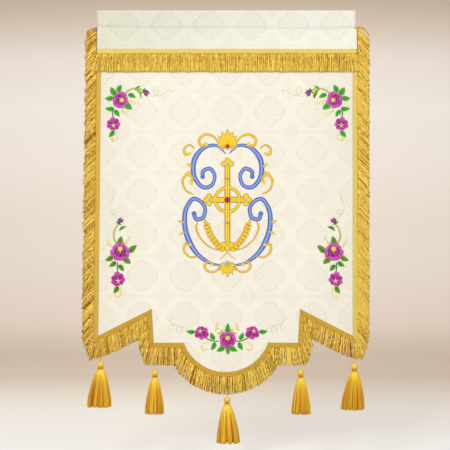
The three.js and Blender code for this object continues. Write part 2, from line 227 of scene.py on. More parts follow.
def skin(rings, across, along, caps=False, closed=True, looped=False, **paint):
    """The surface through rows of rings. rings is (pieces, stations, sides, 3), across the
    distance round the ring at each corner, and along the distance of each station. Capped, a
    closed ring gets a face at both ends, and an open one a single back face round its rim. Looped,
    the last station joins the first."""
    pieces, stations, sides, _ = rings.shape
    spans = sides if closed else sides - 1
    steps = stations if looped else stations - 1
    i, j, k = np.indices((pieces, steps, spans))
    start = (i * stations + j) * sides
    ahead = (i * stations + (j + 1) % stations) * sides
    after = (k + 1) % sides
    quads = joined(start + k, start + after, ahead + after, ahead + k)
    along = np.broadcast_to(along, (pieces, steps + 1))
    near, far = along[i, j], along[i, j + 1]
    u = joined(across[k], across[k + 1], across[k + 1], across[k])
    groups = [(quads.reshape(-1, 4), joined(u, joined(near, near, far, far)).reshape(-1, 2))]
    if caps and not closed:
        back = rim_of(np.arange(stations * sides).reshape(stations, sides))[::-1]
        groups.append((back[None], np.zeros((back.size, 2))))
    elif caps:
        first = np.arange(pieces)[:, None] * stations * sides + np.arange(sides)
        ends = np.concatenate([first[:, ::-1], first + (stations - 1) * sides])
        groups.append((ends, np.zeros((ends.size, 2))))
    return Patch(rings, groups, **paint)


def slab(front, back):
    """A sheet with a front and a back grid, (columns, rows, 3), joined round its rim."""
    grid = np.arange(front[..., 0].size).reshape(front.shape[:2])
    quads = joined(grid[:-1, :-1], grid[:-1, 1:], grid[1:, 1:], grid[1:, :-1]).reshape(-1, 4)
    rim = rim_of(grid)
    after = np.roll(rim, -1)
    edge = joined(after, rim, rim + grid.size, after + grid.size)
    faces = np.concatenate([quads, quads[:, ::-1] + grid.size, edge])
    points = np.concatenate([front.reshape(-1, 3), back.reshape(-1, 3)])
    return Patch(points, [(faces, points[faces.ravel()][:, [0, 2]] * MM)])


def mesh_from(name, patches):
    """One mesh from patches, with its UV, tones and tints."""
    mesh = bpy.data.meshes.new(name)
    counts = [len(patch.points) for patch in patches]
    groups = [
        (corners + offset, uv)
        for patch, offset in zip(patches, np.cumsum([0, *counts]))
        for corners, uv in patch.faces
    ]
    corners = np.concatenate([group.ravel() for group, _ in groups])
    sizes = np.concatenate([np.full(len(group), group.shape[1]) for group, _ in groups])
    starts = np.cumsum(sizes) - sizes

    def fill(layer, key, parts):
        """Writes whole arrays into one of the mesh's layers."""
        layer.foreach_set(key, np.concatenate(parts).astype(np.float32).ravel())

    mesh.vertices.add(sum(counts))
    fill(mesh.vertices, "co", [patch.points * MM for patch in patches])
    mesh.loops.add(len(corners))
    mesh.loops.foreach_set("vertex_index", corners.astype(np.int32))
    mesh.polygons.add(len(sizes))
    mesh.polygons.foreach_set("loop_start", starts.astype(np.int32))
    mesh.update(calc_edges=True)
    fill(mesh.uv_layers.new(name="UVMap").uv, "vector", [uv for _, uv in groups])
    tone = mesh.attributes.new("tone", "FLOAT", "POINT")
    fill(tone.data, "value", [patch.tone for patch in patches])
    if patches[0].tint is not None:
        tint = mesh.attributes.new("tint", "FLOAT_COLOR", "POINT")
        fill(tint.data, "color", [np.insert(patch.tint, 3, 1, axis=1) for patch in patches])
    mesh.shade_smooth()
    return mesh


def piece(name, patches, material, replaced=()):
    """A new piece of the banner, which rides on its one body."""
    thing = bpy.data.objects.new(name, mesh_from(name, patches))
    bpy.context.scene.collection.objects.link(thing)
    thing.data.materials.append(material)
    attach(thing, "root")
    if replaced:
        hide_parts(*replaced)
    return thing


def linear(colour):
    """A colour given in screen values from 0 to 255, as light: a power of 2.4, and a
    straight line at its dark end."""
    share = np.asarray(colour) / 255
    return np.where(share <= 0.04045, share / 12.92, ((share + 0.055) / 1.055) ** 2.4)


def lengths(line):
    """The distance of each point from the start of its line."""
    runs = np.linalg.norm(np.diff(line, axis=-2), axis=-1)
    return np.cumsum(np.insert(runs, 0, 0, axis=-1), axis=-1)


def along_line(line, distances):
    """Places along a line, and the direction of the line at each."""
    marks = lengths(line)
    place = joined(*(np.interp(distances, marks, column) for column in line.T))
    steps = unit(np.diff(line, axis=0))
    run = np.clip(np.searchsorted(marks, distances, side="right") - 1, 0, len(steps) - 1)
    return place, steps[run]


def even_line(line, step):
    """A line with its own points and more between them, none further apart than a step."""
    marks = lengths(line)
    counts = np.ceil(np.diff(marks) / step).astype(int)
    inner = [np.linspace(a, b, n, endpoint=False) for a, b, n in zip(marks, marks[1:], counts)]
    return along_line(line, np.concatenate([*inner, marks[-1:]]))[0]


def curved(points, step=1.6):
    """A smooth line through points: cubic pieces whose ends lean the way of their neighbours."""
    spots = np.asarray(points, dtype=float)
    padded = np.concatenate([2 * spots[:1] - spots[1:2], spots, 2 * spots[-1:] - spots[-2:-1]])
    a, b, c, d = (padded[k : len(spots) - 1 + k, None] for k in range(4))
    t = np.linspace(0, 1, 12, endpoint=False)[:, None]
    bend = (2 * a - 5 * b + 4 * c - d) * t**2 + (3 * b - a - 3 * c + d) * t**3
    line = b + 0.5 * ((c - a) * t + bend)
    dense = np.concatenate([line.reshape(-1, 2), spots[-1:]])
    long = lengths(dense)[-1]
    return along_line(dense, np.linspace(0, long, max(6, int(long / step))))[0]


def edge_line(out):
    """The field's outline at a distance outside the braid's inner edge, from the top of the left
    side round the foot to the top of the right side. Straight runs meet in mitres, and the
    scallop is an arc of a larger radius about the same centre, cut off by the level steps."""
    left = np.array([(-FIELD_HALF, FIELD_TOP), (-FIELD_HALF, CORNER_Z), (-NOTCH[0], NOTCH[1]),
                     (-STEP[0], STEP[1]), (0, STEP[1])])
    outward = -square_to(unit(np.diff(left, axis=0)))
    before = np.concatenate([outward[:1], outward])
    mitre = unit(before + np.concatenate([outward, outward[-1:]]))
    left = (left + mitre * (out / (mitre * before).sum(axis=1))[:, None])[:-1]
    centre_z = SCALLOP_Z + SCALLOP_RADIUS
    radius = SCALLOP_RADIUS + out
    half = math.acos((centre_z - STEP[1] + out) / radius)
    arc = radius * bearing(np.linspace(-half, half, 41) - np.pi / 2) + (0, centre_z)
    return np.concatenate([left, arc, (left * (-1, 1))[::-1]])


# The braid's two edges, the hem under it, and the places of the corners along each.
BRAID_INNER = edge_line(0)
BRAID_OUTER = edge_line(BRAID_WIDTH)
HEM = edge_line(BRAID_WIDTH - BRAID_OVERHANG)
CORNERS = (0, 1, 2, 3, len(HEM) - 4, len(HEM) - 3, len(HEM) - 2, len(HEM) - 1)


class Graph:
    """A material's nodes, added by short calls."""

    def __init__(self, name, **finish):
        self.material = bpy.data.materials.new(name)
        self.material.use_nodes = True
        self.nodes = self.material.node_tree.nodes
        self.links = self.material.node_tree.links
        self.shader = self.nodes["Principled BSDF"]
        for socket, value in finish.items():
            self.put(self.shader, socket.replace("_", " "), value)

    def put(self, node, socket, value):
        """Links a value to a node's input, or sets it there when it is a plain number."""
        if isinstance(value, bpy.types.NodeSocket):
            self.links.new(value, node.inputs[socket])
        else:
            node.inputs[socket].default_value = value

    def add(self, kind, inputs, **settings):
        """The outputs of a new node, from its inputs and its settings."""
        node = self.nodes.new("ShaderNode" + kind)
        for name, value in settings.items():
            setattr(node, name, value)
        for socket, value in inputs.items():
            self.put(node, socket, value)
        return node.outputs

    def math(self, operation, *values):
        """One sum of the given kind."""
        return self.add("Math", dict(enumerate(values)), operation=operation)[0]

    def plus(self, a, b):
        """The two values added."""
        return self.math("ADD", a, b)

    def minus(self, a, b):
        """The first value less the second."""
        return self.math("SUBTRACT", a, b)

    def times(self, a, b):
        """The two values multiplied."""
        return self.math("MULTIPLY", a, b)

    def scaled(self, value, factor, more):
        """The value times the factor, and more added."""
        return self.math("MULTIPLY_ADD", value, factor, more)

    def wave(self, value, pitch):
        """A sine wave of the given pitch along a value."""
        return self.math("SINE", self.times(value, TURN / pitch))

    def band(self, value, low, high, soft):
        """1 where a value lies between low and high, with soft edges."""
        away = self.math("ABSOLUTE", self.minus(value, (low + high) / 2))
        reach = (high - low) / 2
        ends = {"Value": away, "From Min": reach + soft / 2, "From Max": reach - soft / 2}
        return self.add("MapRange", ends, interpolation_type="SMOOTHSTEP")[0]

    def spread(self, value, low, high, to_low=0, to_high=1):
        """A value between low and high, spread over another range."""
        ends = {"From Min": low, "From Max": high, "To Min": to_low, "To Max": to_high}
        return self.add("MapRange", {"Value": value, **ends})[0]

    def mixed(self, share, a, b, blend="MIX"):
        """Two colours, mixed by a share."""
        a, b = (v if isinstance(v, bpy.types.NodeSocket) else (*v, 1) for v in (a, b))
        inputs = {"Factor": share, 6: a, 7: b}
        return self.add("Mix", inputs, data_type="RGBA", blend_type=blend)[2]

    def attribute(self, name, output="Fac"):
        """A value that the mesh carries."""
        return self.add("Attribute", {}, attribute_name=name)[output]

    def place(self, kind="Object"):
        """The X, Y and Z of the object's own coordinates, or of its UV."""
        return list(self.add("SeparateXYZ", {0: self.add("TexCoord", {})[kind]}))

    def noise(self, scale, detail=2, kind="Object", stretch=(1, 1, 1)):
        """A cloudy value of a given fineness, squeezed along each axis by its stretch."""
        place = self.add("Mapping", {"Scale": stretch, "Vector": self.add("TexCoord", {})[kind]})
        return self.add("TexNoise", {"Vector": place[0], "Scale": scale, "Detail": detail})["Fac"]

    def bump(self, height, strength, distance):
        """Raises the surface by a height."""
        inputs = {"Height": height, "Strength": strength, "Distance": distance}
        self.put(self.shader, "Normal", self.add("Bump", inputs)[0])

    def colour(self, value):
        """Gives the surface its colour."""
        self.put(self.shader, "Base Color", value)

    def roughness(self, value):
        """Gives the surface its roughness."""
        self.put(self.shader, "Roughness", value)


def quatrefoil(graph, plain, reach, radius):
    """Distance from a quatrefoil: four circles of one radius at a reach from the middle, of
    which only the nearest counts, so the larger of |x| and |z| is measured from its reach."""
    far = graph.minus(graph.math("MAXIMUM", *plain), reach)
    near = graph.math("MINIMUM", *plain)
    squares = graph.scaled(near, near, graph.times(far, far))
    return graph.minus(graph.math("SQRT", squares), radius)


def rosette(graph, signed, size, petals, depth):
    """Distance from a ring whose radius swings with the cosine of the angle."""
    x, z = signed
    radius = graph.math("SQRT", graph.scaled(x, x, graph.times(z, z)))
    swing = graph.math("COSINE", graph.times(graph.math("ARCTAN2", z, x), petals))
    return graph.minus(radius, graph.scaled(swing, depth, size))


def damask_figure(graph, places, pitches, starts):
    """The woven figure: quatrefoil medallions on a square lattice, each with a broad soft outline,
    lobes and a blossom, and between them a tiered cartouche, a lozenge of bars round a plain
    oval. A narrow band of bars joins the cartouches."""
    repeats = [
        graph.math("DIVIDE", graph.minus(place, start * MM), pitch * MM)
        for place, pitch, start in zip(places, pitches, starts)
    ]

    def cell(shift):
        """Signed millimetres from the nearest lattice point, and the same without their sign."""
        signed = [
            graph.times(graph.minus(graph.math("FRACT", graph.plus(repeat, shift)), 0.5), pitch)
            for repeat, pitch in zip(repeats, pitches)
        ]
        return signed, [graph.math("ABSOLUTE", value) for value in signed]

    signed, plain = cell(0.5)
    outline = quatrefoil(graph, plain, 25, 31)
    lobes = quatrefoil(graph, plain, 33, 13)
    blossom = rosette(graph, signed, 14, 8, 4)
    signed, (across, down) = cell(0)
    tiers = graph.spread(graph.wave(down, 8.6), -1, 1)
    tiered = graph.times(graph.band(graph.scaled(down, 0.8, across), -60, 36, 7), tiers)
    oval = rosette(graph, signed, 9, 2, 1.5)
    parts = (
        (graph.band(outline, -8, -0.6, 5), 0.8),
        (graph.band(outline, -60, -9, 6), 0.3),
        (graph.band(lobes, -3.6, 1, 3.6), 0.72),
        (graph.band(blossom, -4.4, 0.6, 3.6), 0.55),
        (graph.times(tiered, graph.band(oval, 3, 90, 3)), 0.75),
        (graph.band(oval, 0, 4, 3), 0.6),
        (graph.times(graph.band(down, -60, 7, 3), graph.band(outline, 4, 90, 5)), 0.3),
    )
    most = 0
    for part, weight in parts:
        most = graph.math("MAXIMUM", most, graph.times(part, weight))
    return most


class Cloth(NamedTuple):
    """A length of damask: the middle of one medallion, its cast beside the field's cloth, where its
    painted shade and its painted light lie across it, their tones, and how its painted shade changes
    up to the top."""

    name: str
    start: tuple
    cast: tuple
    sides: tuple
    shaded_tone: tuple
    lit_tone: tuple
    top_shade: tuple


FIELD_CLOTH = Cloth("Damask", (3.5, -351.7), (1, 1, 1), (0.42, 0.27), (0.95, 0.95, 0.94),
                    (1, 1, 1), (1, 1))

# The heading's cloth: its figure starts elsewhere, its cast is cooler and a little darker, and it
# carries painted shade at its left and top and painted light at its right and lower down.
HEADING_CLOTH = Cloth("Heading damask", (-60, -52), (0.902, 0.932, 0.94), (-0.42, 0.25),
                      (0.9, 0.9, 0.85), (1.06, 1.06, 1.08), (1.05, 0.95))


def damask_material(settings, cloth):
    """Ivory damask: satin figure on a duller ground, fine warp and weft, and a slight sheen. The
    field's cloth carries painted shade along both sides, and the heading's carries painted shade
    at its left and at its top and painted light at its right and lower down."""
    graph = Graph(cloth.name, Sheen_Weight=0.18, Sheen_Roughness=0.45, Specular_IOR_Level=0.32)
    x, _, z = graph.place()
    pitches = (settings.damask_pitch_x / MM, settings.damask_pitch_z / MM)
    figure = damask_figure(graph, (x, z), pitches, cloth.start)
    frayed = graph.times(figure, graph.spread(graph.noise(150, 4), 0.36, 0.62, 0.25, 1.2))
    ground = np.multiply(settings.ground_colour, cloth.cast)
    raised = np.multiply(settings.figure_colour, cloth.cast)
    # Painted shade along the field's two sides; on the heading, painted shade at its left and painted
    # light at its right.
    aside = x if cloth is HEADING_CLOTH else graph.math("ABSOLUTE", x)
    side_shade = graph.mixed(graph.spread(aside, *cloth.sides), cloth.shaded_tone, cloth.lit_tone)
    woven = graph.mixed(1, graph.mixed(frayed, ground, raised), side_shade, "MULTIPLY")
    slubs = graph.spread(graph.noise(60, 3, stretch=(1, 1, 14)), 0.25, 0.75, 0.99, 1.006)
    cloudy = graph.spread(graph.noise(3.2), 0.25, 0.75, 0.97, 1.014)
    grain = graph.spread(graph.noise(260, stretch=(1, 1, 1.6)), 0.25, 0.75, 0.968, 1.024)
    # Painted shade at the heading's top and painted light lower down; the field's cloth stays even.
    top_shade = graph.spread(z, -0.13, 0, *cloth.top_shade)
    shade = graph.times(graph.times(graph.times(slubs, cloudy), grain), top_shade)
    shades = graph.add("CombineColor", {channel: shade for channel in range(3)})[0]
    graph.colour(graph.mixed(1, woven, shades, "MULTIPLY"))
    graph.roughness(graph.spread(frayed, 0, 1, 0.66, 0.5))
    thread = 0.62 * MM
    weave = graph.times(graph.wave(x, thread), graph.wave(z, thread / 0.83))
    graph.bump(graph.plus(weave, graph.times(frayed, 1.6)), 0.3, 0.00012)
    return graph.material


def braid_material(settings):
    """Gold braid: chevrons of flat thread across the ribbon, with a painted highlight on their crowns
    and painted shade between them.
    """
    graph = Graph("Gold braid", Metallic=0.4, Specular_IOR_Level=0.25)
    u, v, _ = graph.place("UV")
    across = graph.math("PINGPONG", graph.plus(u, 1), 0.0028)
    crown = graph.spread(graph.wave(graph.scaled(across, 0.9, v), 0.0019), -1, 1)
    # Painted highlight on the crowns and painted shade between the ribs, broken up by noise.
    share = graph.times(crown, graph.spread(graph.noise(160), 0.25, 0.75, 0.55, 1))
    base = graph.mixed(share, settings.braid_dark, settings.braid_light)
    tone = graph.attribute("tone")
    bright = graph.mixed(graph.spread(tone, 0, 1), base, linear((255, 238, 140)))
    graph.colour(graph.mixed(graph.spread(tone, 0, -1), bright, linear((176, 128, 24))))
    graph.roughness(graph.spread(share, 0, 1, 0.55, 0.36))
    graph.bump(crown, 0.5, 0.00035)
    return graph.material


def bullion_material(settings):
    """Twisted gold cord: two plies wind round each strand, and each strand has its own tone. U
    runs once round a strand, which faces the front a quarter of the way round it and the back
    after three quarters, and its flanks and the hollows between its plies carry painted shade."""
    graph = Graph("Gold bullion", Metallic=0.45, Specular_IOR_Level=0.25)
    u, v, _ = graph.place("UV")
    crown = graph.spread(graph.wave(graph.scaled(v, 200, graph.times(u, 2)), 1), -1, 1)
    facing = graph.math("ABSOLUTE", graph.wave(u, 1))
    flecks = graph.spread(graph.noise(170, stretch=(1, 0.6, 0.6)), 0.3, 0.7, -0.62, 0.62)
    tone = graph.spread(graph.plus(graph.attribute("tone"), flecks), -1, 1)
    strand = graph.mixed(tone, settings.cord_dark, settings.cord_light)
    # Painted shade on the strand's flanks and in the hollows between its plies, towards a brown.
    flank_shade = graph.spread(facing, 0.1, 0.85, 0.5, 0)
    ply_and_flank_shade = graph.plus(graph.spread(crown, 0, 1, 0.2, 0), flank_shade)
    graph.colour(graph.mixed(ply_and_flank_shade, strand, linear((150, 80, 4))))
    graph.roughness(graph.spread(crown, 0, 1, 0.46, 0.28))
    graph.bump(crown, 0.6, 0.0005)
    return graph.material


def silk_material(settings):
    """Loose golden yarn: smooth, glossy threads of slightly different tones."""
    graph = Graph("Gold yarn", Metallic=0.2, Specular_IOR_Level=0.4, Anisotropic=0.5)
    tone = graph.spread(graph.attribute("tone"), -1, 1)
    streak = graph.noise(26, kind="UV", stretch=(3, 1, 1))
    share = graph.scaled(graph.minus(streak, 0.5), 0.7, tone)
    graph.colour(graph.mixed(share, settings.yarn_dark, settings.yarn_light))
    graph.roughness(graph.spread(streak, 0.2, 0.8, 0.3, 0.44))
    graph.bump(graph.noise(2600, 1, stretch=(1, 1, 0.03)), 0.3, 0.0002)
    return graph.material


def embroidery_material(settings):
    """Satin stitch: threads lie side by side across a shape, each a thin line with a painted
    highlight along its middle and painted shade between threads, and its colour comes from the tint
    that the piece carries. A thread's own tone is the fraction of a large multiple of the sine of
    its number."""
    graph = Graph("Embroidery silk", Specular_IOR_Level=0.35, Anisotropic=0.35,
                  Sheen_Weight=0.06, Sheen_Roughness=0.35)
    u, v, _ = graph.place("UV")
    pitch = settings.stitch_pitch
    slanted = graph.scaled(u, 0.45, v)
    thread = graph.spread(graph.wave(slanted, pitch), -1, 1)
    number = graph.math("FLOOR", graph.math("DIVIDE", slanted, pitch))
    own = graph.math("FRACT", graph.times(graph.math("SINE", number), 4375.85))
    tint = graph.attribute("tint", "Color")
    # A darker copy of the tint, for the threads' own random tones and the painted shade between them.
    darker = graph.mixed(1, tint, (0.7, 0.68, 0.7), "MULTIPLY")
    share = graph.scaled(own, 0.35, graph.times(thread, 0.65))
    graph.colour(graph.mixed(share, darker, tint))
    graph.roughness(graph.spread(share, 0, 1, 0.55, 0.38))
    graph.bump(thread, 0.45, 0.00018)
    return graph.material


def thread_material():
    """Ivory sewing thread, streaked by a fine noise."""
    graph = Graph("Sewing thread", Specular_IOR_Level=0.4, Roughness=0.5, Sheen_Weight=0.2)
    streak = graph.noise(700, 1)
    graph.colour(graph.mixed(streak, linear((214, 206, 180)), linear((244, 240, 226))))
    graph.bump(streak, 0.3, 0.0002)
    return graph.material


def field_patch():
    """The field: level rows down to the height where its foot begins to be cut out, and below it
    rows that ease into the cut edge. Columns stand on evenly spaced points of that edge."""
    foot = even_line(HEM[1:-1], 9.5)
    x = foot[:, :1]
    level = np.linspace(FIELD_TOP, LAST_LEVEL_ROW, 80) + 0 * x
    eased = mix(LAST_LEVEL_ROW, foot[:, 1:], shares(16)[1:])
    z = np.concatenate([level, eased], axis=1)
    return slab(*(hang(joined(x, y, z)) for y in (FIELD_FRONT, FIELD_BACK)))


def fold_z(x):
    """The height of the heading's fold, a little lower to the right."""
    return mix(-56.5, -60.5, (x - SLEEVE_LEFT) / (SLEEVE_RIGHT - SLEEVE_LEFT))


def flap_patch():
    """The flap: a sheet in front that bows forward a little between its fold and its braid by a
    sine. Its top turns back towards the sleeve and thins out there, except over the side
    fringes."""
    x = np.linspace(-FLAP_HALF, FLAP_HALF, 121)[:, None]
    share = shares(26) ** 1.3
    z = mix(fold_z(x), FLAP_BRAID_Z - BRAID_WIDTH + BRAID_OVERHANG, share)
    below = fold_z(x) - z
    bow = 0.9 * np.sin(np.pi * share) * (1 + 0.35 * np.sin(x / 41) + 0.2 * np.sin(x / 17))
    clear = 1 - smooth((np.abs(x) - 400) / 20)
    turned = mix(1.4, 4, clear) * (1 - smooth(below / 15))
    thick = CLOTH * (1 - 0.7 * clear * (1 - smooth(below / 7)))
    y = FLAP_FRONT - bow + turned
    return slab(*(hang(joined(x, face, z)) for face in (y, y + thick)))


def sleeve_loops():
    """The tube's outer and inner walls as two matching loops. Its front is a smooth line that
    meets the flap's top, and its back a power of the sine of the height."""
    share = np.linspace(0.97, 0.05, 20)
    half = SLEEVE_DEPTH / 2 * np.sin(np.pi * share) ** 0.8
    middle = mix(FIELD_BACK + LAYER_GAP + SLEEVE_CLOTH, 0, smooth(share * 2.2))
    z = mix(SLEEVE_FRONT[0][1], -SLEEVE_CLOTH, share)
    inner = np.concatenate([curved(SLEEVE_FRONT, 3.4), joined(middle + half, z)])
    steps = unit(np.roll(inner, -1, axis=0) - np.roll(inner, 1, axis=0))
    return inner + SLEEVE_CLOTH * square_to(steps), inner


def sleeve_patches():
    """The sleeve: one wall of cloth round a lens-shaped channel, open at both ends, stretched to
    the slanting fold, with two small sines along it, and its tail, two layers that hang behind
    the field's top."""
    outer, inner = sleeve_loops()
    x = np.linspace(SLEEVE_LEFT, SLEEVE_RIGHT, 85)[:, None]
    wave = 0.3 * np.sin(x / 37) + 0.2 * np.sin(x / 15 + 1)
    stretch = (fold_z(x) - 2.4) / outer[:, 1].min()

    def wall(section):
        """The section carried along X, waved and stretched."""
        y, z = section.T
        body = np.sin(np.pi * np.clip(-z / 60, 0, 1)) * np.sign(y)
        return joined(x, y + wave * body, np.minimum(z * stretch, 0))

    rings = np.concatenate([wall(outer), wall(inner)[::-1]])[None, :, ::-1]
    around = lengths(np.concatenate([outer, outer[:1]])) * MM
    run = lengths(np.concatenate([rings[0, :, 0], rings[0, :1, 0]])) * MM
    z = np.linspace(FLAP_TOP + 2, FLAP_TOP + 0.5 - SLEEVE_TAIL, 5)
    front = FIELD_BACK + LAYER_GAP
    tail = slab(*(joined(x, y, z) for y in (front, front + 2 * SLEEVE_CLOTH)))
    return [skin(rings, around, run, looped=True), tail]


def tubes(paths, radii, sides, aside=(0, 1, 0), tone=0):
    """Round strands along many paths at once: at each station a ring of points in the plane
    square to the path, one of its axes square to a fixed direction."""
    step = unit(np.gradient(paths, axis=1))
    side = unit(np.cross(step, aside))
    up = np.cross(step, side)
    angle = angles(sides)[:, None]
    ring = np.cos(angle) * side[:, :, None] + np.sin(angle) * up[:, :, None]
    rings = paths[:, :, None] + np.broadcast_to(radii, paths.shape[:2])[..., None, None] * ring
    tones = np.broadcast_to(tone, paths.shape[:2])[..., None]
    return skin(rings, shares(sides + 1), lengths(paths) * MM, caps=True, tone=tones)


def stitch_row(line, depth, length, pitch, thick, seed):
    """A row of sewn stitches: short arched tubes end to end along a line in X and Z."""
    rng = np.random.default_rng(seed)
    total = lengths(line)[-1]
    count = int(total / pitch)
    middles = (np.arange(count)[:, None] + 0.5) * total / count
    share = np.linspace(-0.5, 0.5, 5)
    places = middles + share * length * rng.uniform(0.92, 1.05, (count, 1))
    flat = along_line(line, places.ravel())[0].reshape(count, 5, 2)
    rise = thick * (0.9 * np.cos(np.pi * share) ** 0.6 - 0.35)
    return tubes(hang(joined(flat[..., 0], depth - rise, flat[..., 1])), thick / 2, 5)


class Look(NamedTuple):
    """How a length of fringe hangs: its strands' length, their lean at its two ends in degrees
    from straight down towards +X, how much of the edge's slope they lean by between, how far they
    stand forward, how unruly and how bright they are, how fine and close they lie, how much they
    gather in clumps, how mottled they are, how much painted light their tips get, the brightness
    of their braid, and how far those at the top of a side arch out."""

    length: float
    ends: tuple
    share: float
    unruly: float
    forward: float = 0
    bright: float = 0
    fine: float = 1
    clumped: float = 1
    mottled: float = 1
    tip_light: float = 0
    braid: float = 0
    arched: float = 0


# The lengths of fringe sewn round the field from corner to corner, each with the node that it
# stands for, and the one on the flap.
EDGE_FRINGES = (
    ("fringe_side_left",
     Look(53, (-58, -18), 0.5, 0.95, bright=-0.12, mottled=1.3, braid=0.1, arched=1)),
    ("fringe_slant_left", Look(61, (-14, 4), 0.38, 0.5)),
    ("fringe_riser_left", Look(59, (-18, -16), 0.36, 0.7, 3.4)),
    ("fringe_lower", Look(61, (-14, 14), 0.4, 0.5, bright=0.12, mottled=1.4)),
    ("fringe_riser_right", Look(59, (16, 18), 0.36, 0.7, 3.4)),
    ("fringe_slant_right", Look(61, (-4, 14), 0.38, 0.5)),
    ("fringe_side_right",
     Look(57, (18, 47), 0.49, 0.6, bright=0.5, mottled=1.45, braid=0.35)),
)
TOP_FRINGE = Look(62.5, (-15, 15), 0, 0.35, forward=-3.2, bright=0.3, fine=0.86, clumped=0.25,
                  mottled=0.42, tip_light=0.9, braid=0.42)

# Strands lie in this many layers, and each starts this far inside the braid's outer edge. Their
# lean eases to the one at the fringe's end over this distance.
LAYERS = 3
ROOT_INSIDE = 2.5
END_REACH = 60


def strand_patch(edge, braid_back, settings, seed, look):
    """Bullion strands along a braid's outer edge, in layers. Each is a path whose direction
    turns a little towards straight down and sways by two sines along its length, drawn towards
    the middle of its clump with the square of the way. Its lean, length, depth and tone vary by
    strand and by clump, the layers lie darker the further back they are as painted shade, and
    a painted light on a tip grows with the cube of the way. Arched strands start further out,
    turn down more and are shorter."""
    rng = np.random.default_rng(seed)
    total = lengths(edge)[-1]
    pitch = settings.strand_pitch / MM * look.fine
    count = LAYERS * int(total / pitch)
    distance = np.linspace(1, total - 1, count) + rng.normal(0, 0.2 * pitch, count)
    distance = np.clip(distance, 0.5, total - 0.5)
    root, direction = along_line(edge, distance)
    slope = np.arctan2(direction[:, 1], direction[:, 0])
    lean = np.convolve(np.pad(slope, 6, mode="edge"), np.ones(13) / 13, mode="valid") * look.share
    for end, away in zip(look.ends, (distance, total - distance)):
        lean = mix(lean, math.radians(end), smooth(1 - away / END_REACH))
    width = settings.clump_width / MM
    clump = np.floor(distance / width).astype(int)
    clumps = clump.max() + 1

    def uneven(by_clump, by_strand):
        """A random share for each clump plus one for each strand."""
        return rng.normal(0, by_clump, clumps)[clump] + rng.normal(0, by_strand, count)

    centre = (np.arange(clumps) + rng.uniform(0.3, 0.7, clumps)) * width
    pull = (centre[clump] - distance) * look.clumped * rng.uniform(0.05, 0.36, clumps)[clump]
    lean = lean + look.unruly * uneven(0.03, 0.075)
    long = np.minimum(1 + uneven(0.012, 0.016), 1.04) * look.length + ROOT_INSIDE
    high = look.arched * smooth((root[:, 1] - FIELD_TOP) / 36 + 1)
    long = long * (1 - 0.2 * high)
    stations = shares(13)
    heading = lean[:, None] * mix(1.14 - 0.3 * stations, 1.6 - 1.1 * stations, high[:, None])
    for waves, swing in ((1.7, 0.14), (3.8, 0.3)):
        phase = rng.uniform(0, 1, clumps)[clump] + rng.normal(0, 0.22, count)
        sway = np.sin(TURN * (waves * stations + phase[:, None]))
        heading = heading + look.unruly * swing * sway
    run = long[:, None, None] / 12 * bearing(heading - np.pi / 2)
    start = root - ROOT_INSIDE * bearing(lean - np.pi / 2)
    flat = start[:, None] + np.cumsum(np.insert(run[:, 1:], 0, 0, axis=1), axis=1)
    flat = flat + pull[:, None, None] * (stations**2)[:, None] * direction[:, None]
    layer = np.arange(count) % LAYERS / (LAYERS - 1)
    out = look.forward - 0.6 + 2.9 * layer + rng.uniform(-0.3, 0.6, clumps)[clump]
    depth = braid_back - BRAID_THICK * mix(0.4, 0.7, layer)[:, None]
    depth = depth - out[:, None] * smooth(stations * 3)
    depth = depth + 0.5 * np.sin(stations * 11 + rng.uniform(0, 6, (count, 1)))
    radius = settings.strand_diameter / MM / 2 * look.fine * rng.uniform(0.85, 1.1, (count, 1))
    taper = np.array([0.6, *[1] * 10, 0.9, 0.5])
    tones = rng.normal(0, 0.42, count) + rng.normal(0, 0.2, clumps)[clump]
    # Painted shade: each layer's tone is lower the further back it lies.
    tones = look.mottled * (tones + mix(-0.65, 0.35, layer)) + look.bright
    path = hang(joined(flat[..., 0], depth, flat[..., 1]))
    # Painted light on the tips, growing with the cube of the way.
    return tubes(path, radius * taper, 5, tone=tones[:, None] + look.tip_light * stations**3)


def braid_patch(inner, outer, back, tone):
    """A braid between two edges: a ribbon whose face has a round cord at each edge and two low
    ridges between, carried along the line. Both edges are cut into the same stations, so that
    corner faces corner."""
    counts = np.ceil(np.diff(lengths(inner)) / 4).astype(int)
    place = np.concatenate([*(k + np.arange(n) / n for k, n in enumerate(counts)), [len(counts)]])
    inner, outer = (
        joined(*(np.interp(place, np.arange(len(line)), column) for column in line.T))
        for line in (inner, outer)
    )
    across = shares(15)
    ridge = 0.35 * np.abs(np.sin(across * np.pi * 4)) ** 0.7
    cords = 0.5 * sum(np.exp(-(((across - middle) / 0.05) ** 2)) for middle in (0.06, 0.94))
    height = np.minimum(1.05 + ridge + cords, 2.05)
    height[[0, -1]] = 0.7
    flat = inner[:, None] + (outer - inner)[:, None] * across[:, None]
    face = joined(flat[..., 0], back - height, flat[..., 1])
    hem = joined(flat[:, [-1, 0], 0], back, flat[:, [-1, 0], 1])
    rings = hang(np.concatenate([face, hem], axis=1))
    width = np.linalg.norm(outer - inner, axis=1).mean() * MM
    u = np.concatenate([across * width, [width, 0, 0]])
    return skin(rings[None], u, lengths(inner) * MM, caps=True, tone=tone)


def drawn_in(line, gap):
    """A line whose two ends are moved in by a gap."""
    ends, _ = along_line(line, np.array([gap, lengths(line)[-1] - gap]))
    return np.concatenate([ends[:1], line[1:-1], ends[1:]])


def sew_fringe(node, edges, back, finishes, settings, seed, look, more=()):
    """A length of fringe: its strands, which stand for the node, and its braid."""
    braid, bullion = finishes
    strands = strand_patch(edges[1], back, settings, seed, look)
    piece(node + "_strands", [strands, *more], bullion, [node])
    ribbon = braid_patch(*edges, back, look.braid)
    piece(node + "_braid", [ribbon], braid)


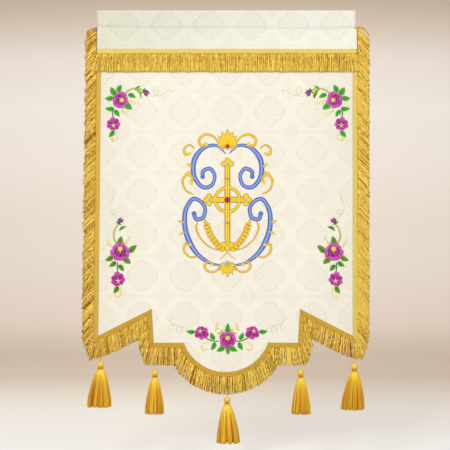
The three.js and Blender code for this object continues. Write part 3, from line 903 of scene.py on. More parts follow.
# The loose end of the right side fringe, which springs up beside the flap and falls outwards.
LOOSE_END = ((445, -66), (450, -61), (458, -58.5), (468, -59.5), (480, -65), (489, -74), (495, -86))
LOOSE_TONES = (0.4, -0.2, 0.5, -0.5, 0.2, -0.6, 0.3)


def loose_end(settings):
    """The strands of the loose end, side by side along one curve."""
    x, z = curved(LOOSE_END, 5).T
    share = shares(len(x))
    number = np.arange(len(LOOSE_TONES))[:, None]
    spread = mix(-1.5, 5, number / number.max())
    depth = LOOSE_END_FRONT - 0.7 * (number % 3) * share
    path = joined(x + spread * 0.1 * share, depth, z + spread * (0.5 * share - 1))
    return tubes(path, settings.strand_diameter / MM / 2, 6, tone=np.array(LOOSE_TONES)[:, None])


class Tassel:
    """Where a tassel hangs: its cord's axis and top, its own top, length and half width, and how
    far its foot drifts sideways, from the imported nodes' boxes."""

    def __init__(self, number):
        self.number = number
        cord = np.array(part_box(f"tassel_cord_{number}")) / MM
        low, high = np.array(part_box(f"tassel_{number}")) / MM
        self.x, self.y, _ = cord.mean(axis=0)
        self.cord_top = cord[1, 2]
        self.top = high[2]
        self.long = high[2] - low[2]
        self.half = (high[0] - low[0]) / 2
        self.drift = (low[0] + high[0]) / 2 - self.x

    def round_axis(self, reach, angle, z, aside=0, flat=1):
        """Points at a reach from the axis, on circles flattened front to back."""
        return joined(self.x + aside + reach * np.cos(angle),
                      self.y + flat * reach * np.sin(angle), z)


# A tassel's head, as shares of its height and of its radius, and its tie.
HEAD_HEIGHT = 23
HEAD_RADIUS = 11.6
HEAD_SHARE = (0, 0.06, 0.22, 0.42, 0.6, 0.78, 0.9, 1)
HEAD_FORM = (0.12, 0.42, 0.86, 1, 0.97, 0.8, 0.66, 0.6)
TIE_RADIUS = 8.1
TIE_TURN = 7 * math.pi

# A skirt's width down its length, its locks, and the painted light that brightens tassel 3 and the
# painted shade that darkens tassel 1.
SKIRT_SHARE = (0, 0.08, 0.2, 0.35, 0.55, 0.8, 1)
SKIRT_SPREAD = (0.17, 0.3, 0.5, 0.64, 0.79, 0.95, 1)
SKIRT_LOCKS = 11
TASSEL_PAINTED_LIGHT = {1: -0.12, 3: 0.3}


def head_patch(tassel):
    """A tassel's head: a turned ball whose surface is wound with slanting turns of thread, each
    the size of a sine of the angle and of the height. Its tone is a painted highlight at its top
    and on the crests of its turns, falling to painted shade towards its foot."""
    angle = angles(48)
    share = shares(29)[:, None]
    wound = 0.045 * np.abs(np.sin(7 * angle + 9 * share))
    crossed = 0.03 * np.abs(np.sin(6 * angle - 8 * share + tassel.number))
    form = np.interp(share[:, 0], HEAD_SHARE, HEAD_FORM)[:, None]
    reach = HEAD_RADIUS * form * (0.96 + wound + crossed)
    rings = tassel.round_axis(reach, angle, tassel.top - share * HEAD_HEIGHT)[None, ::-1]
    # Painted highlight at the top and on the crests of the turns, painted shade lower down.
    tones = (0.7 - 1.7 * share**2 + 9 * (wound - 0.03))[None, ::-1]
    around = shares(49) * TURN * HEAD_RADIUS * MM
    return skin(rings, around, share[:, 0] * HEAD_HEIGHT * MM, caps=True, tone=tones)


def tie_patch(tassel):
    """The tie under the head: a thread wound three and a half times round the neck. Its very dark
    tone is painted shade under the head.
    """
    turn = np.linspace(0, TIE_TURN, 100)
    z = tassel.top - HEAD_HEIGHT + 3.4 - turn / TIE_TURN * 5.4
    path = tassel.round_axis(TIE_RADIUS, turn, z)[None]
    # A very dark tone: painted shade under the head.
    return tubes(path, 0.95, 6, aside=(0, 0, 1), tone=-1.2)


def skirt_patches(tassel, settings):
    """A tassel's skirt: rings of threads from the neck to the foot, over a plain core. Each keeps
    its angle on a flattened cone, the cone's width follows a curve, and threads gather into a few
    locks, with painted shade towards their edges and a painted highlight by the neck."""
    rng = np.random.default_rng(50 + tassel.number)
    count = settings.tassel_threads
    long = tassel.long - HEAD_HEIGHT + 1
    stations = shares(10)
    spread = np.interp(stations, SKIRT_SHARE, SKIRT_SPREAD)
    angle = rng.uniform(0, TURN, count)
    lock = np.floor(angle / TURN * SKIRT_LOCKS).astype(int)
    heart = (lock + 0.5) * TURN / SKIRT_LOCKS
    gathered = heart[:, None] + (angle - heart)[:, None] * mix(1, 0.76, smooth(stations))
    shell = np.sqrt(rng.uniform(0.45, 1, count))[:, None]
    shell = mix(1, shell, smooth(stations * 3))
    lock_width = 1 + rng.normal(0, 0.04, SKIRT_LOCKS)[lock][:, None]
    lock_turn = rng.normal(0, 0.03, SKIRT_LOCKS)[lock][:, None]
    radius = np.minimum(tassel.half * spread * shell * lock_width, tassel.half)
    wave = 0.5 * np.sin(5 * stations + rng.uniform(0, 6, (count, 1))) * stations
    flat = mix(0.85, 0.5, smooth(stations * 2.5))
    run = long * (1 + rng.normal(0, 0.008, count)) - 2.2 * np.abs(np.cos(heart)) ** 4
    neck = tassel.top - HEAD_HEIGHT + 1
    z = np.maximum(neck - run[:, None] * stations, tassel.top - tassel.long - 1)
    aside = tassel.drift * stations
    path = tassel.round_axis(radius, gathered + lock_turn * stations, z, aside + wave, flat)
    tones = rng.normal(0, 0.34, count) + rng.normal(0, 0.26, SKIRT_LOCKS)[lock]
    # Painted shade towards the edges of each lock.
    tones = tones - 0.36 * (np.abs(angle - heart) * SKIRT_LOCKS / np.pi) ** 2
    # Painted highlight by the neck, falling off down the skirt.
    tones = tones[:, None] + mix(1.1, 0.12, smooth(stations * 1.9))
    # Painted light on tassel 3, painted shade on tassel 1.
    tones = tones + TASSEL_PAINTED_LIGHT.get(tassel.number, 0)
    threads = tubes(path, settings.yarn_diameter / MM / 2, 4, tone=tones)
    down, aside, flat, spread = (part[:, None] for part in (stations, aside, flat, spread))
    core = tassel.round_axis(
        0.72 * tassel.half * spread, angles(32), neck - 0.97 * long * down, aside, flat
    )
    around = np.linspace(0, 0.1, 33)
    return [threads, skin(core[None, ::-1], around, stations * long * MM, caps=True, tone=-1)]


def cord_patch(tassel):
    """The tassel's cord: two plies that wind round each other down to the head."""
    z = mix(tassel.cord_top, tassel.top - 0.5, shares(90))
    turn = (tassel.cord_top - z) / 6.5 * TURN + np.array([[0], [np.pi]])
    return tubes(tassel.round_axis(0.72, turn, z), 0.78, 6)


def stitched(flat, rise, across, along, tint, closed=False):
    """A domed shape of embroidery over a grid of X and Z, its rise measured from a little inside
    the cloth."""
    points = joined(flat[..., 0], FIELD_FRONT - rise + 0.1, flat[..., 1])
    return skin(points[None], across * MM, along * MM, caps=True, closed=closed, tint=tint)


def leaf(base, tip, width, tints, bend=0, height=1, lift=0):
    """An embroidered leaf: its halves meet in a vein, its half width is a skewed sine of the way
    along it, and its height a half circle across, lower along the vein. Its tints are the
    vein's, the body's and the rim's."""
    span = np.subtract(tip, base)
    long = np.linalg.norm(span)
    u = shares(15)[:, None]
    v = np.linspace(1, -1, 11)
    half = width / 2 * np.sin(np.pi * u**0.7) ** 0.78 * (1 + 0.05 * np.sin(u * 21))
    side = bend * long * np.sin(np.pi * u) + half * v
    flat = base + span * u[..., None] + square_to(span) / long * side[..., None]
    vein = 1 - 0.4 * np.exp(-((v / 0.12) ** 2))
    rise = lift + height * dome(v) * vein * np.sin(np.pi * np.clip(u, 0.03, 0.97)) ** 0.4
    dark, body, rim = linear(tints)
    out = smooth((np.abs(v) + 0.6 * (u - 0.3)) / 0.36)[..., None]
    edged = smooth((np.abs(v) - 0.55) / 0.4)[:, None]
    # Stitches slant away from the vein, so the distance across is the same on both halves.
    across = np.abs(v) * width * 0.8
    return stitched(flat, rise, across, u[:, 0] * long, mix(mix(dark, body, out), rim, edged))


def petal(centre, heading, near, far, spread, tints, height=0.9, lift=0, point=0):
    """An embroidered petal: a fan from a near to a far radius, its outer edge round, or pointed
    by the given share, and its height a half circle across and over its length. Its tints are
    those at its base, its middle and its edge."""
    u = shares(10)[:, None]
    v = np.linspace(1, -1, 9)
    round_edge = 1 - (0.12 + 0.42 * point) * np.abs(v) ** mix(2.4, 1.1, point)
    notch = 1 - 0.05 * (1 - point) * np.exp(-((v / 0.25) ** 2))
    radius = near + (far - near) * u * round_edge * notch
    angle = heading + spread * v * (0.62 + 0.38 * np.sin(np.pi * np.clip(u * 0.62, 0, 1)))
    flat = centre + radius[..., None] * bearing(angle)
    over = np.sqrt(np.clip(1 - (u - 0.35) ** 2 * 2.3, 0, 1))
    base, middle, edge = linear(tints)
    inward = smooth((u - 0.26) / 0.46)[..., None]
    outward = smooth((u - 0.76) / 0.22 + 0.3 * (np.abs(v) - 0.5))[..., None]
    tint = mix(mix(base, middle, inward), edge, outward)
    along = u[:, 0] * 0.4 * (far - near)
    patch = stitched(flat, lift + height * dome(v) * over, -v * spread * far, along, tint)
    # The petal's threads run out from its heart, so its stitches are counted round it.
    quads, uv = patch.faces[0]
    patch.faces[0] = (quads, uv[:, ::-1])
    return patch


def knot(centre, radius, tint, height=1, lift=0):
    """A French knot: a small dome of rings."""
    share = np.linspace(1, 0.1, 5)[:, None]
    rise, reach = np.moveaxis(bearing(share * np.pi / 2), -1, 0)
    flat = centre + radius * reach[..., None] * bearing(angles(10))
    around = shares(11) * TURN * radius
    return stitched(flat, lift + height * rise, around, share[:, 0] * radius, linear(tint), True)


def stroke(line, width, tint, height=0.9, lift=0, taper=(0.35, 0.35), edge=None):
    """A band of satin stitch along a line: a half circle across, its width eased by a sine to a
    share at each end over an eighth of its length."""
    share = shares(len(line))
    width = width * np.minimum(*(
        mix(end, 1, np.sin(np.pi / 2 * np.clip(away / 0.12, 0, 1)))
        for end, away in zip(taper, (share, 1 - share))
    ))
    normal = square_to(unit(np.gradient(line, axis=0)))
    v = np.linspace(1, -1, 7)
    flat = line[:, None] + normal[:, None] * (width[:, None] / 2 * v)[..., None]
    close = np.sin(np.pi * np.clip(share, 0.012, 0.988)) ** 0.12
    rise = lift + height * close[:, None] * dome(v)
    tints = mix(linear(tint), linear(edge or tint), (np.abs(v) ** 2.2)[:, None])
    return stitched(flat, rise, (v + 1) / 2 * width.max(), lengths(line), tints)


def outlined(line, width, tints, border, lift=0, taper=(0.4, 0.95)):
    """A band of the first tint, with one of the second, a little wider, beneath it."""
    tint, outline = tints
    under = stroke(line, width + 2 * border, outline, 0.55, lift, taper)
    return [under, stroke(line, width, tint, 1.15, lift + 0.12, taper)]


LEAF_GREEN = (44, 174, 32)
GREEN = ((6, 116, 44), LEAF_GREEN, (160, 208, 6))
DEEP_GREEN = ((6, 78, 60), (12, 110, 62), (44, 150, 66))
OLIVE = ((34, 92, 22), (80, 150, 22), (196, 200, 40))
STEM_GREEN = (22, 130, 70)
LIME = (206, 210, 4)
LIME_LEAF = (LIME, (120, 180, 10), (176, 212, 6))
PALE_GREEN = (200, 224, 156)
YELLOW = (252, 226, 4)
PALE_YELLOW = (244, 226, 92)
STRAW = (236, 212, 74)
DARK_PLUM = (104, 4, 92)
PLUM = (146, 18, 124)
MAGENTA = (186, 30, 150)
PURPLE = (208, 62, 176)
ROSE_PINK = (238, 124, 212)
PALE_PINK = (252, 190, 238)

# A rose's cups of petals, from the outer one in: the count of petals, their near and far radius,
# their spread, tints and lift, how far the cup is turned, and how far it moves with the heart.
ROSE_CUPS = (
    (8, 0.4, 1.06, 0.5, (DARK_PLUM, PURPLE, ROSE_PINK), 0, 0.12, 0),
    (6, 0.3, 0.82, 0.56, (DARK_PLUM, MAGENTA, PALE_PINK), 0.5, -0.1, 0.3),
    (5, 0.2, 0.6, 0.64, (DARK_PLUM, MAGENTA, ROSE_PINK), 0.9, 0.3, 0.6),
    (5, 0.04, 0.38, 0.7, (DARK_PLUM, PURPLE, PALE_PINK), 1.3, 0, 1),
)


def rose(centre, radius, seed, heart=(0.22, -0.05)):
    """A full rose: cups of petals, each smaller and nearer to a heart of yellow knots that
    sits off centre. Their dark bases show between the pale edges of the cup within."""
    rng = np.random.default_rng(seed)
    heart = np.multiply(heart, radius)
    patches = []
    for count, near, far, spread, tints, lift, turn, shift in ROSE_CUPS:
        for k in range(count):
            heading = turn + TURN * k / count + rng.uniform(-0.12, 0.12)
            reach = radius * far * rng.uniform(0.87, 1.08)
            patches.append(petal(centre + shift * heart, heading, radius * near, reach, spread,
                                 tints, 1, lift + 0.08 * (k % 2)))
    for k in range(7):
        place = centre + heart + 0.13 * radius * min(k, 1) * bearing(TURN * k / 6)
        patches.append(knot(place, radius * 0.12, YELLOW, 1, 2.1))
    return patches


def small_flower(centre, radius, seed, heart=(0.05, -0.25)):
    """A flower of eight broad petals that run out from an off-centre heart to one round
    outline, with pale tongues round a yellow knot."""
    rng = np.random.default_rng(seed)
    heart = np.multiply(heart, radius)
    middle = centre + heart
    patches = []
    for k in range(8):
        heading = 0.2 + TURN * k / 8 + rng.uniform(-0.06, 0.06)
        along = bearing(heading) @ heart
        reach = (math.sqrt(along**2 + radius**2 - heart @ heart) - along) * rng.uniform(0.93, 1.07)
        tints = (DARK_PLUM, MAGENTA, PURPLE) if k % 2 else (PLUM, PURPLE, ROSE_PINK)
        patches.append(petal(middle, heading, reach * 0.1, reach, 0.6, tints, 1, 0.14 * (k % 2), 0.6))
    tints = (PALE_PINK, ROSE_PINK, ROSE_PINK)
    for heading in 0.3 + angles(5):
        patches.append(petal(middle, heading, radius * 0.05, radius * 0.5, 0.3, tints, 0.7, 0.8, 0.4))
    return [*patches, knot(middle, radius * 0.19, YELLOW, 1.1, 1.3)]


def leaves(rows, tints=GREEN):
    """Leaves by their middles, the way each points in degrees, its length and its width."""
    patches = []
    for x, z, heading, long, width in rows:
        half = bearing(math.radians(heading)) * long / 2
        patches.append(leaf((x, z) - half, (x, z) + half, width, tints, 0.06))
    return patches


def bud(base, heading, long):
    """A closed bud: three magenta petals in a cup of dark sepals, four of them spread."""

    def spot(share, angle):
        """A place at a share of the bud's length and an angle from its way."""
        return base + long * share * bearing(math.radians(heading + angle))

    patches = [
        leaf(spot(0.25, 0), spot(1, 14), long * 0.34, (PLUM, PLUM, MAGENTA), 0.12, 1.1),
        leaf(spot(0.25, 0), spot(1, -14), long * 0.34, (PLUM, PLUM, MAGENTA), -0.12, 1.1, 0.15),
        leaf(spot(0.2, 0), spot(0.96, 0), long * 0.32, (MAGENTA, MAGENTA, ROSE_PINK), 0, 1.2, 0.4),
    ]
    for angle, reach, width in ((0, 0.5, 0.2), (38, 0.72, 0.17), (-38, 0.72, 0.17),
                                (88, 0.5, 0.15), (-88, 0.5, 0.15)):
        patches.append(leaf(base, spot(reach, angle), long * width, DEEP_GREEN, 0.08, 0.9, 0.5))
    return patches


def sprig(*points, size=8):
    """A spray of knots that step from side to side along a line and shrink towards its end."""
    line = curved(points, 0.8)
    places, ways = along_line(line, lengths(line)[-1] * shares(6))
    return [
        knot(place + 0.36 * size * (-1) ** k * square_to(way), size * (1 - 0.08 * k) / 2, STRAW, 0.9)
        for k, (place, way) in enumerate(zip(places, ways))
    ]


def stem(*points, width=4.4, tint=STEM_GREEN):
    """A stitched stem along a smooth line, its edges dark."""
    return [stroke(curved(points), width, tint, 0.8, edge=STEM_GREEN, taper=(0.7, 0.5))]


def curl(*points):
    """A soft yellow curl that thickens to its rolled end."""
    line = curved(points, 1.2)
    return [stroke(line, np.linspace(2.2, 5.2, len(line)), PALE_YELLOW, 0.6, taper=(0.6, 0.8))]


def tendril(*points):
    """A single line of pale thread that loops."""
    return [stroke(curved(points, 1.2), 2, PALE_GREEN, 0.5, taper=(0.5, 0.4))]


def corner_spray():
    """The spray in the upper left corner: a rose, a curving stem with a bud and a small flower
    that hangs below."""
    return [
        *stem((-394, -339), (-395.5, -356), (-393, -377)),
        *stem((-354.5, -292), (-339, -278), (-318, -271.5), (-297, -275), (-285, -281.5),
              width=6, tint=LIME),
        leaf((-318, -277), (-295.5, -263), 8.5, GREEN, 0.1),
        leaf((-315.5, -274.5), (-297.5, -309), 10, LIME_LEAF, 0.22),
        *bud((-288.5, -279.5), -38, 26),
        *leaves((
            (-393, -281, 125, 35, 24),
            (-371, -271.5, 66, 28, 21),
            (-408, -305, 184, 30, 21),
            (-328, -298, -24, 30, 19),
            (-342.5, -335, -32, 36, 26),
            (-406, -341, 178, 33, 18),
            (-381, -358.5, -52, 30, 18),
            (-399.5, -429, 232, 29, 19),
        )),
        *rose((-369.5, -310.5), 29, 3),
        *small_flower((-393, -393.5), 24.5, 5),
        *sprig((-335, -316.5), (-319.5, -320), (-303, -325.5)),
        *sprig((-364, -346), (-356, -355), (-342.5, -365)),
        *curl((-385, -412), (-383.5, -431), (-377.5, -442.5), (-391, -454), (-406, -444.5)),
        *sprig((-397, -443), (-392, -453), size=4.5),
        *tendril((-267.5, -298), (-250, -298.5), (-237.5, -287.5), (-239, -272), (-251.5, -270),
                 (-253, -285.5), (-240, -296.5), (-219, -292), (-205, -277.5), (-191, -278.5),
                 (-187.5, -289)),
    ]


def side_spray():
    """The spray low on the left side: a bud on a bent stem, a rose and a small flower."""
    return [
        *stem((-369.5, -740), (-383, -759.5), (-388.5, -783.5), (-381, -808), width=6, tint=LIME),
        *stem((-374.5, -874), (-375.5, -891.5), (-373, -908.5)),
        *bud((-372, -740.5), 56, 24),
        leaf((-369.5, -767), (-342.5, -751), 8, GREEN, 0.22),
        *leaves((
            (-363.5, -799, 84, 31, 23),
            (-321, -828.5, 46, 36, 23),
            (-403, -861.5, 206, 33, 21),
            (-342, -871, -34, 32, 23),
            (-391.5, -881, 214, 29, 19),
            (-362, -895, -50, 29, 19),
            (-379.5, -970, 238, 29, 20),
        ), OLIVE),
        *rose((-366, -838), 33, 11, (0.02, 0.3)),
        *small_flower((-373, -933), 25.5, 13),
        *sprig((-397.5, -817.5), (-406.5, -806), (-412, -794.5), size=7.5),
        *sprig((-347, -810), (-339.5, -796.5), (-332, -787), size=7.5),
        *curl((-366.5, -954), (-360.5, -971.5), (-363, -989.5), (-378, -994), (-384.5, -980.5)),
        *tendril((-382, -724.5), (-394, -707), (-391.5, -692), (-380, -694.5), (-384.5, -709),
                 (-397.5, -700), (-401.5, -676), (-391.5, -655), (-396, -637.5)),
    ]


def foot_spray_side():
    """The left half of the spray over the scallop: a small flower on a stem with its leaves, a
    curl and a pale tendril."""
    return [
        *stem((-24.5, -1149), (-45, -1148), (-66, -1139.5), (-78, -1131)),
        *leaves((
            (-46.5, -1131, 116, 29, 18),
            (-44.5, -1166.5, 244, 31, 19),
            (-19, -1175, 212, 33, 21),
            (-122.5, -1115, 174, 30, 18),
        )),
        *small_flower((-84, -1120.5), 25, 21, (-0.22, 0.28)),
        stroke(curved(((-14, -1107.5), (-15.5, -1117), (-30, -1123))), 7, LIME),
        *sprig((-32.5, -1109.5), (-31.5, -1098), (-30.5, -1084)),
        *curl((-48.5, -1151.5), (-71, -1154), (-85.5, -1167.5), (-77, -1181), (-64, -1175)),
        *tendril((-132, -1111.5), (-144, -1100), (-159, -1097), (-171, -1107), (-166, -1119.5),
                 (-153, -1118), (-151.5, -1104.5), (-165.5, -1093), (-185.5, -1093),
                 (-198, -1102), (-192.5, -1111.5), (-182, -1105.5), (-186.5, -1087.5),
                 (-200, -1074), (-203, -1059.5)),
    ]


def foot_rose():
    """The rose in the middle of the lower spray, with a leaf above and below it."""
    return [
        leaf((5.5, -1126), (6.5, -1085.5), 21, GREEN),
        leaf((6.5, -1164.5), (6.5, -1196.5), 19, GREEN),
        *rose((6.5, -1144.5), 31, 17, (-0.02, 0.22)),
    ]


AMBER = (246, 176, 10)
PALE_BLUE = (150, 178, 242)
RED = (178, 36, 46)
SKY = (132, 184, 236)
GOLD, GOLD_EDGE = GOLDS = ((255, 220, 30), (190, 104, 10))
BLUE, BLUE_EDGE = BLUES = ((88, 122, 214), (52, 74, 170))
DESIGN_MIDDLE = (5, -671)
DESIGN_TALL = 1.08
CROSS_Z = 12


def design_spot(x, z):
    """A place on the middle design, from its X and Z off its middle, stretched upwards."""
    return joined(x, z * DESIGN_TALL) + DESIGN_MIDDLE


def design_lines(points, sides=(1, -1)):
    """A smooth line of the middle design and its reflection."""
    x, z = np.transpose(points)
    return [curved(design_spot(side * x, z), 2.3) for side in sides]


def blue_scroll(line, widest):
    """A blue scroll: thin at its root, widest a third of the way along, with a rolled end, a
    dark edge and a light core."""
    width = widest * np.interp(shares(len(line)), [0, 0.35, 0.8, 1], [0.3, 1, 0.62, 0.8])
    core = stroke(line, width * 0.36, PALE_BLUE, 0.4, 1.2, (0.3, 0.3))
    return [*outlined(line, width, BLUES, 1.2), core, knot(line[-1], widest * 0.46, BLUE, 1.5, 0.3)]


def gold_scroll(line, width):
    """A gold scroll with a brown edge, an amber core and a rolled end."""
    wide = width * np.linspace(0.5, 1.1, len(line))
    core = stroke(line, wide * 0.26, AMBER, 0.3, 1.1, (0.2, 0.2))
    return [*outlined(line, wide, GOLDS, 1), core, knot(line[-1], width * 0.8, GOLD, 1.5, 0.3)]


def jewel(x, z, radius, tint):
    """A round jewel: a dome of silk in a ring of gold."""
    centre = design_spot(x, z)
    return [
        knot(centre, radius + 3.6, GOLD_EDGE, 0.9, 1.4),
        knot(centre, radius + 2.6, GOLD, 1.3, 1.5),
        knot(centre, radius, tint, 1.9, 1.8),
    ]


def gold_leaf(base, angle, reach, width, lift=0):
    """A gold leaf from a base at an angle, over a brown one a little larger."""
    way = bearing(angle)
    edge = (GOLD_EDGE, GOLD_EDGE, GOLD_EDGE)
    return [
        leaf(base - way, base + way * (reach + 1.8), width + 2.2, edge, 0, 0.5, lift),
        leaf(base + way, base + way * reach, width, (AMBER, GOLD, GOLD), 0, 1.3, lift + 0.25),
    ]


def palmette(x, z, heading, long, count, spread=78):
    """A fan of gold leaves, the middle one longest and on top."""
    patches = []
    turns = np.linspace(-1, 1, count)
    for k, turn in enumerate(turns[np.argsort(-np.abs(turns))]):
        reach = long * (1 - 0.34 * abs(turn))
        angle = math.radians(heading + spread * turn)
        patches += gold_leaf(design_spot(x, z), angle, reach, reach * 0.36, 0.1 * k)
    return patches


def wheat_ear(line):
    """An ear of wheat: a stalk, and grains in pairs along its upper half with one at its tip."""
    total = lengths(line)[-1]
    patches = [stroke(line, 4.8, GOLD_EDGE, 0.5), stroke(line, 3.4, GOLD, 0.8, 0.2)]
    places, ways = along_line(line, np.arange(0.34 * total, total, 13.5))
    slopes = np.arctan2(ways[:, 1], ways[:, 0])
    for place, slope in zip(places, slopes):
        for side in (-0.62, 0.62):
            patches += gold_leaf(place, slope + side, 19, 8.6, 0.3)
    return patches + gold_leaf(line[-1], slopes[-1], 22, 9, 0.6)


def budded_cross():
    """The cross: two gold bars over a ring, three buds and a jewel at each end, and a larger
    jewel in the middle."""
    ring = 42 * bearing(np.linspace(0, TURN, 60)) + design_spot(0, CROSS_Z)
    patches = outlined(ring, 10, GOLDS, 1.1, 0.1, (1, 1))
    ends = ((0, 128), (0, -132), (-64, CROSS_Z), (64, CROSS_Z))
    for first, last in (ends[:2], ends[2:]):
        (bar,) = design_lines((first, np.mean((first, last), axis=0), last), (1,))
        patches += outlined(bar, 17, GOLDS, 1.4, 0.7, (0.9, 0.9))
        patches.append(stroke(bar, 3.4, AMBER, 0.4, 1.7, (0.2, 0.2)))
    for end in ends:
        way = unit(np.subtract(end, (0, CROSS_Z)))
        side = 12.5 * square_to(way)
        for shift in (way * 11, side, -side):
            centre = design_spot(*end) + shift
            patches.append(knot(centre, 10.4, GOLD_EDGE, 1.2, 0.6))
            patches.append(knot(centre, 9, GOLD, 1.7, 0.9))
        patches += jewel(*end, 4.8, SKY)
    patches += jewel(0, CROSS_Z, 12, RED)
    for z in (CROSS_Z + 68, CROSS_Z - 74):
        patches += jewel(0, z, 3.6, RED)
    return patches


# The left halves of the gold scrolls with their widths, the leaves on the blue scrolls, the two
# blue scrolls with their widths, and an ear of wheat.
GOLD_SCROLLS = (
    (((-16, -188), (-38, -216), (-66, -218), (-80, -200), (-66, -186), (-54, -196)), 8.5),
    (((-22, 178), (-44, 212), (-76, 222), (-98, 206), (-92, 186), (-74, 190)), 9.5),
    (((-112, 176), (-132, 188), (-150, 176), (-146, 158), (-132, 160)), 8),
    (((-118, 30), (-144, 42), (-156, 72), (-142, 92), (-122, 84), (-126, 66)), 9),
    (((-98, -168), (-128, -172), (-150, -152), (-146, -130), (-128, -132)), 8),
    (((-20, -150), (-52, -144), (-88, -118), (-108, -82), (-104, -60)), 5.5),
)
SCROLL_LEAVES = ((-126, 120, 150), (-130, 100, 196), (-154, -60, 165), (-150, -92, 205))
BLUE_SCROLLS = (
    (((-8, -198), (-58, -192), (-110, -156), (-143, -94), (-147, -30), (-124, 12),
      (-98, 10), (-78, -14), (-84, -44), (-108, -50), (-116, -32)), 19),
    (((-6, 160), (-36, 186), (-80, 180), (-114, 142), (-116, 90), (-88, 54),
      (-56, 58), (-44, 88), (-60, 112), (-84, 104), (-86, 86)), 18),
)
WHEAT = ((30, -182), (0, -158), (-30, -136), (-56, -106), (-72, -70))


def middle_design():
    """The middle of the banner: a budded cross over two ears of wheat, framed by two pairs of
    blue scrolls, with gold scrolls and leaves round them and a fan of leaves above and below."""
    patches = []
    for points, wide in GOLD_SCROLLS:
        for line in design_lines(points):
            patches += gold_scroll(line, wide)
    for x, z, heading in SCROLL_LEAVES:
        for side, turned in ((1, heading), (-1, 180 - heading)):
            turn = math.radians(turned)
            patches += gold_leaf(design_spot(x * side, z) - bearing(turn) * 6, turn, 23, 9.5)
    for points, wide in BLUE_SCROLLS:
        for line in design_lines(points):
            patches += blue_scroll(line, wide)
    for line in design_lines(WHEAT):
        patches += wheat_ear(line)
    patches += budded_cross()
    patches += palmette(0, 184, 90, 58, 9, 84)
    patches += palmette(0, -194, -90, 46, 7)
    for x, z, radius, tint in ((0, 184, 8, RED), (-22, 178, 4.6, SKY), (22, 178, 4.6, SKY),
                               (0, -194, 6.4, SKY)):
        patches += jewel(x, z, radius, tint)
    return patches


def a_length(name, description, default, smallest):
    """A length that a user can change."""
    return FloatProperty(
        name=name, description=description, default=default, min=smallest, unit="LENGTH"
    )


def a_colour(name, description, colour):
    """A colour that a user can change, its default picked in screen values."""
    default = tuple(linear(colour))
    return FloatVectorProperty(
        name=name, description=description, default=default, size=3, subtype="COLOR"
    )


class ClothSettings(bpy.types.PropertyGroup):
    """The damask's colours and repeat."""

    ground_colour: a_colour("Ground", "Colour of the damask's duller ground", (238, 232, 217))
    figure_colour: a_colour("Figure", "Colour of the damask's satin figure", (225, 219, 199))
    damask_pitch_x: a_length(
        "Repeat across", "Distance between medallions across the cloth", 0.147, 0.02
    )
    damask_pitch_z: a_length(
        "Repeat down", "Distance between medallions down the cloth", 0.1425, 0.02
    )


class FringeSettings(bpy.types.PropertyGroup):
    """The bullion fringe's strands and colours."""

    strand_diameter: a_length(
        "Strand", "Diameter of one twisted strand of the fringe", 0.0036, 0.0005
    )
    strand_pitch: a_length(
        "Strand pitch", "Distance between strands of one layer along the braid", 0.0035, 0.001
    )
    clump_width: a_length("Clump", "Width of the clumps that the strands fall into", 0.0075, 0.002)
    cord_dark: a_colour("Dark strands", "Colour of the darkest strands", (168, 98, 8))
    cord_light: a_colour("Light strands", "Colour of the brightest strands", (255, 224, 98))
    braid_dark: a_colour("Braid shade", "Colour between the braid's ribs", (172, 118, 20))
    braid_light: a_colour("Braid light", "Colour of the braid's ribs", (231, 199, 72))


class TasselSettings(bpy.types.PropertyGroup):
    """The tassels' threads and colours."""

    tassel_threads: IntProperty(
        name="Threads", description="Threads in each tassel's skirt", default=330, min=40, max=500
    )
    yarn_diameter: a_length("Yarn", "Diameter of one thread of a tassel", 0.0018, 0.0005)
    yarn_dark: a_colour("Dark yarn", "Colour of the darkest threads", (206, 116, 0))
    yarn_light: a_colour("Light yarn", "Colour of the brightest threads", (255, 221, 64))


class EmbroiderySettings(bpy.types.PropertyGroup):
    """The embroidery's stitches."""

    stitch_pitch: a_length(
        "Stitch pitch", "Distance between threads of satin stitch", 0.0009, 0.0002
    )


class StageSettings(bpy.types.PropertyGroup):
    """The room round the banner."""

    frame_width: a_length("Frame width", "Width of the picture at the banner", 1.56375, 0.5)
    camera_distance: a_length(
        "Camera distance", "Distance from the camera to the banner", 4.2, 2
    )
    floor_drop: a_length("Floor", "Height of the floor below the tassels' feet", 0.056, 0.01)


class BANNER_OT_cloth(bpy.types.Operator):
    """Weave the field, the flap and the pole sleeve"""

    bl_idname = "banner.cloth"
    bl_label = "Cloth"

    def execute(self, context):
        settings = context.scene.banner_cloth
        damask = damask_material(settings, FIELD_CLOTH)
        cooler = damask_material(settings, HEADING_CLOTH)
        field = piece("damask_field", [field_patch()], damask, ["field"])
        flap = piece("heading_flap", [flap_patch()], cooler, ["flap"])
        sleeve = piece("heading_sleeve", sleeve_patches(), cooler, ["pole_sleeve"])
        return {"FINISHED"}


class BANNER_OT_seams(bpy.types.Operator):
    """Sew the heading's line of stitches"""

    bl_idname = "banner.seams"
    bl_label = "Seams"

    def execute(self, context):
        x = np.array([SLEEVE_LEFT + 2, SLEEVE_RIGHT - 2])
        rows = [stitch_row(joined(x, fold_z(x) - 4), STITCH_FRONT, 2.6, 3.4, 0.5, 3)]
        piece("heading_stitches", rows, thread_material())
        return {"FINISHED"}


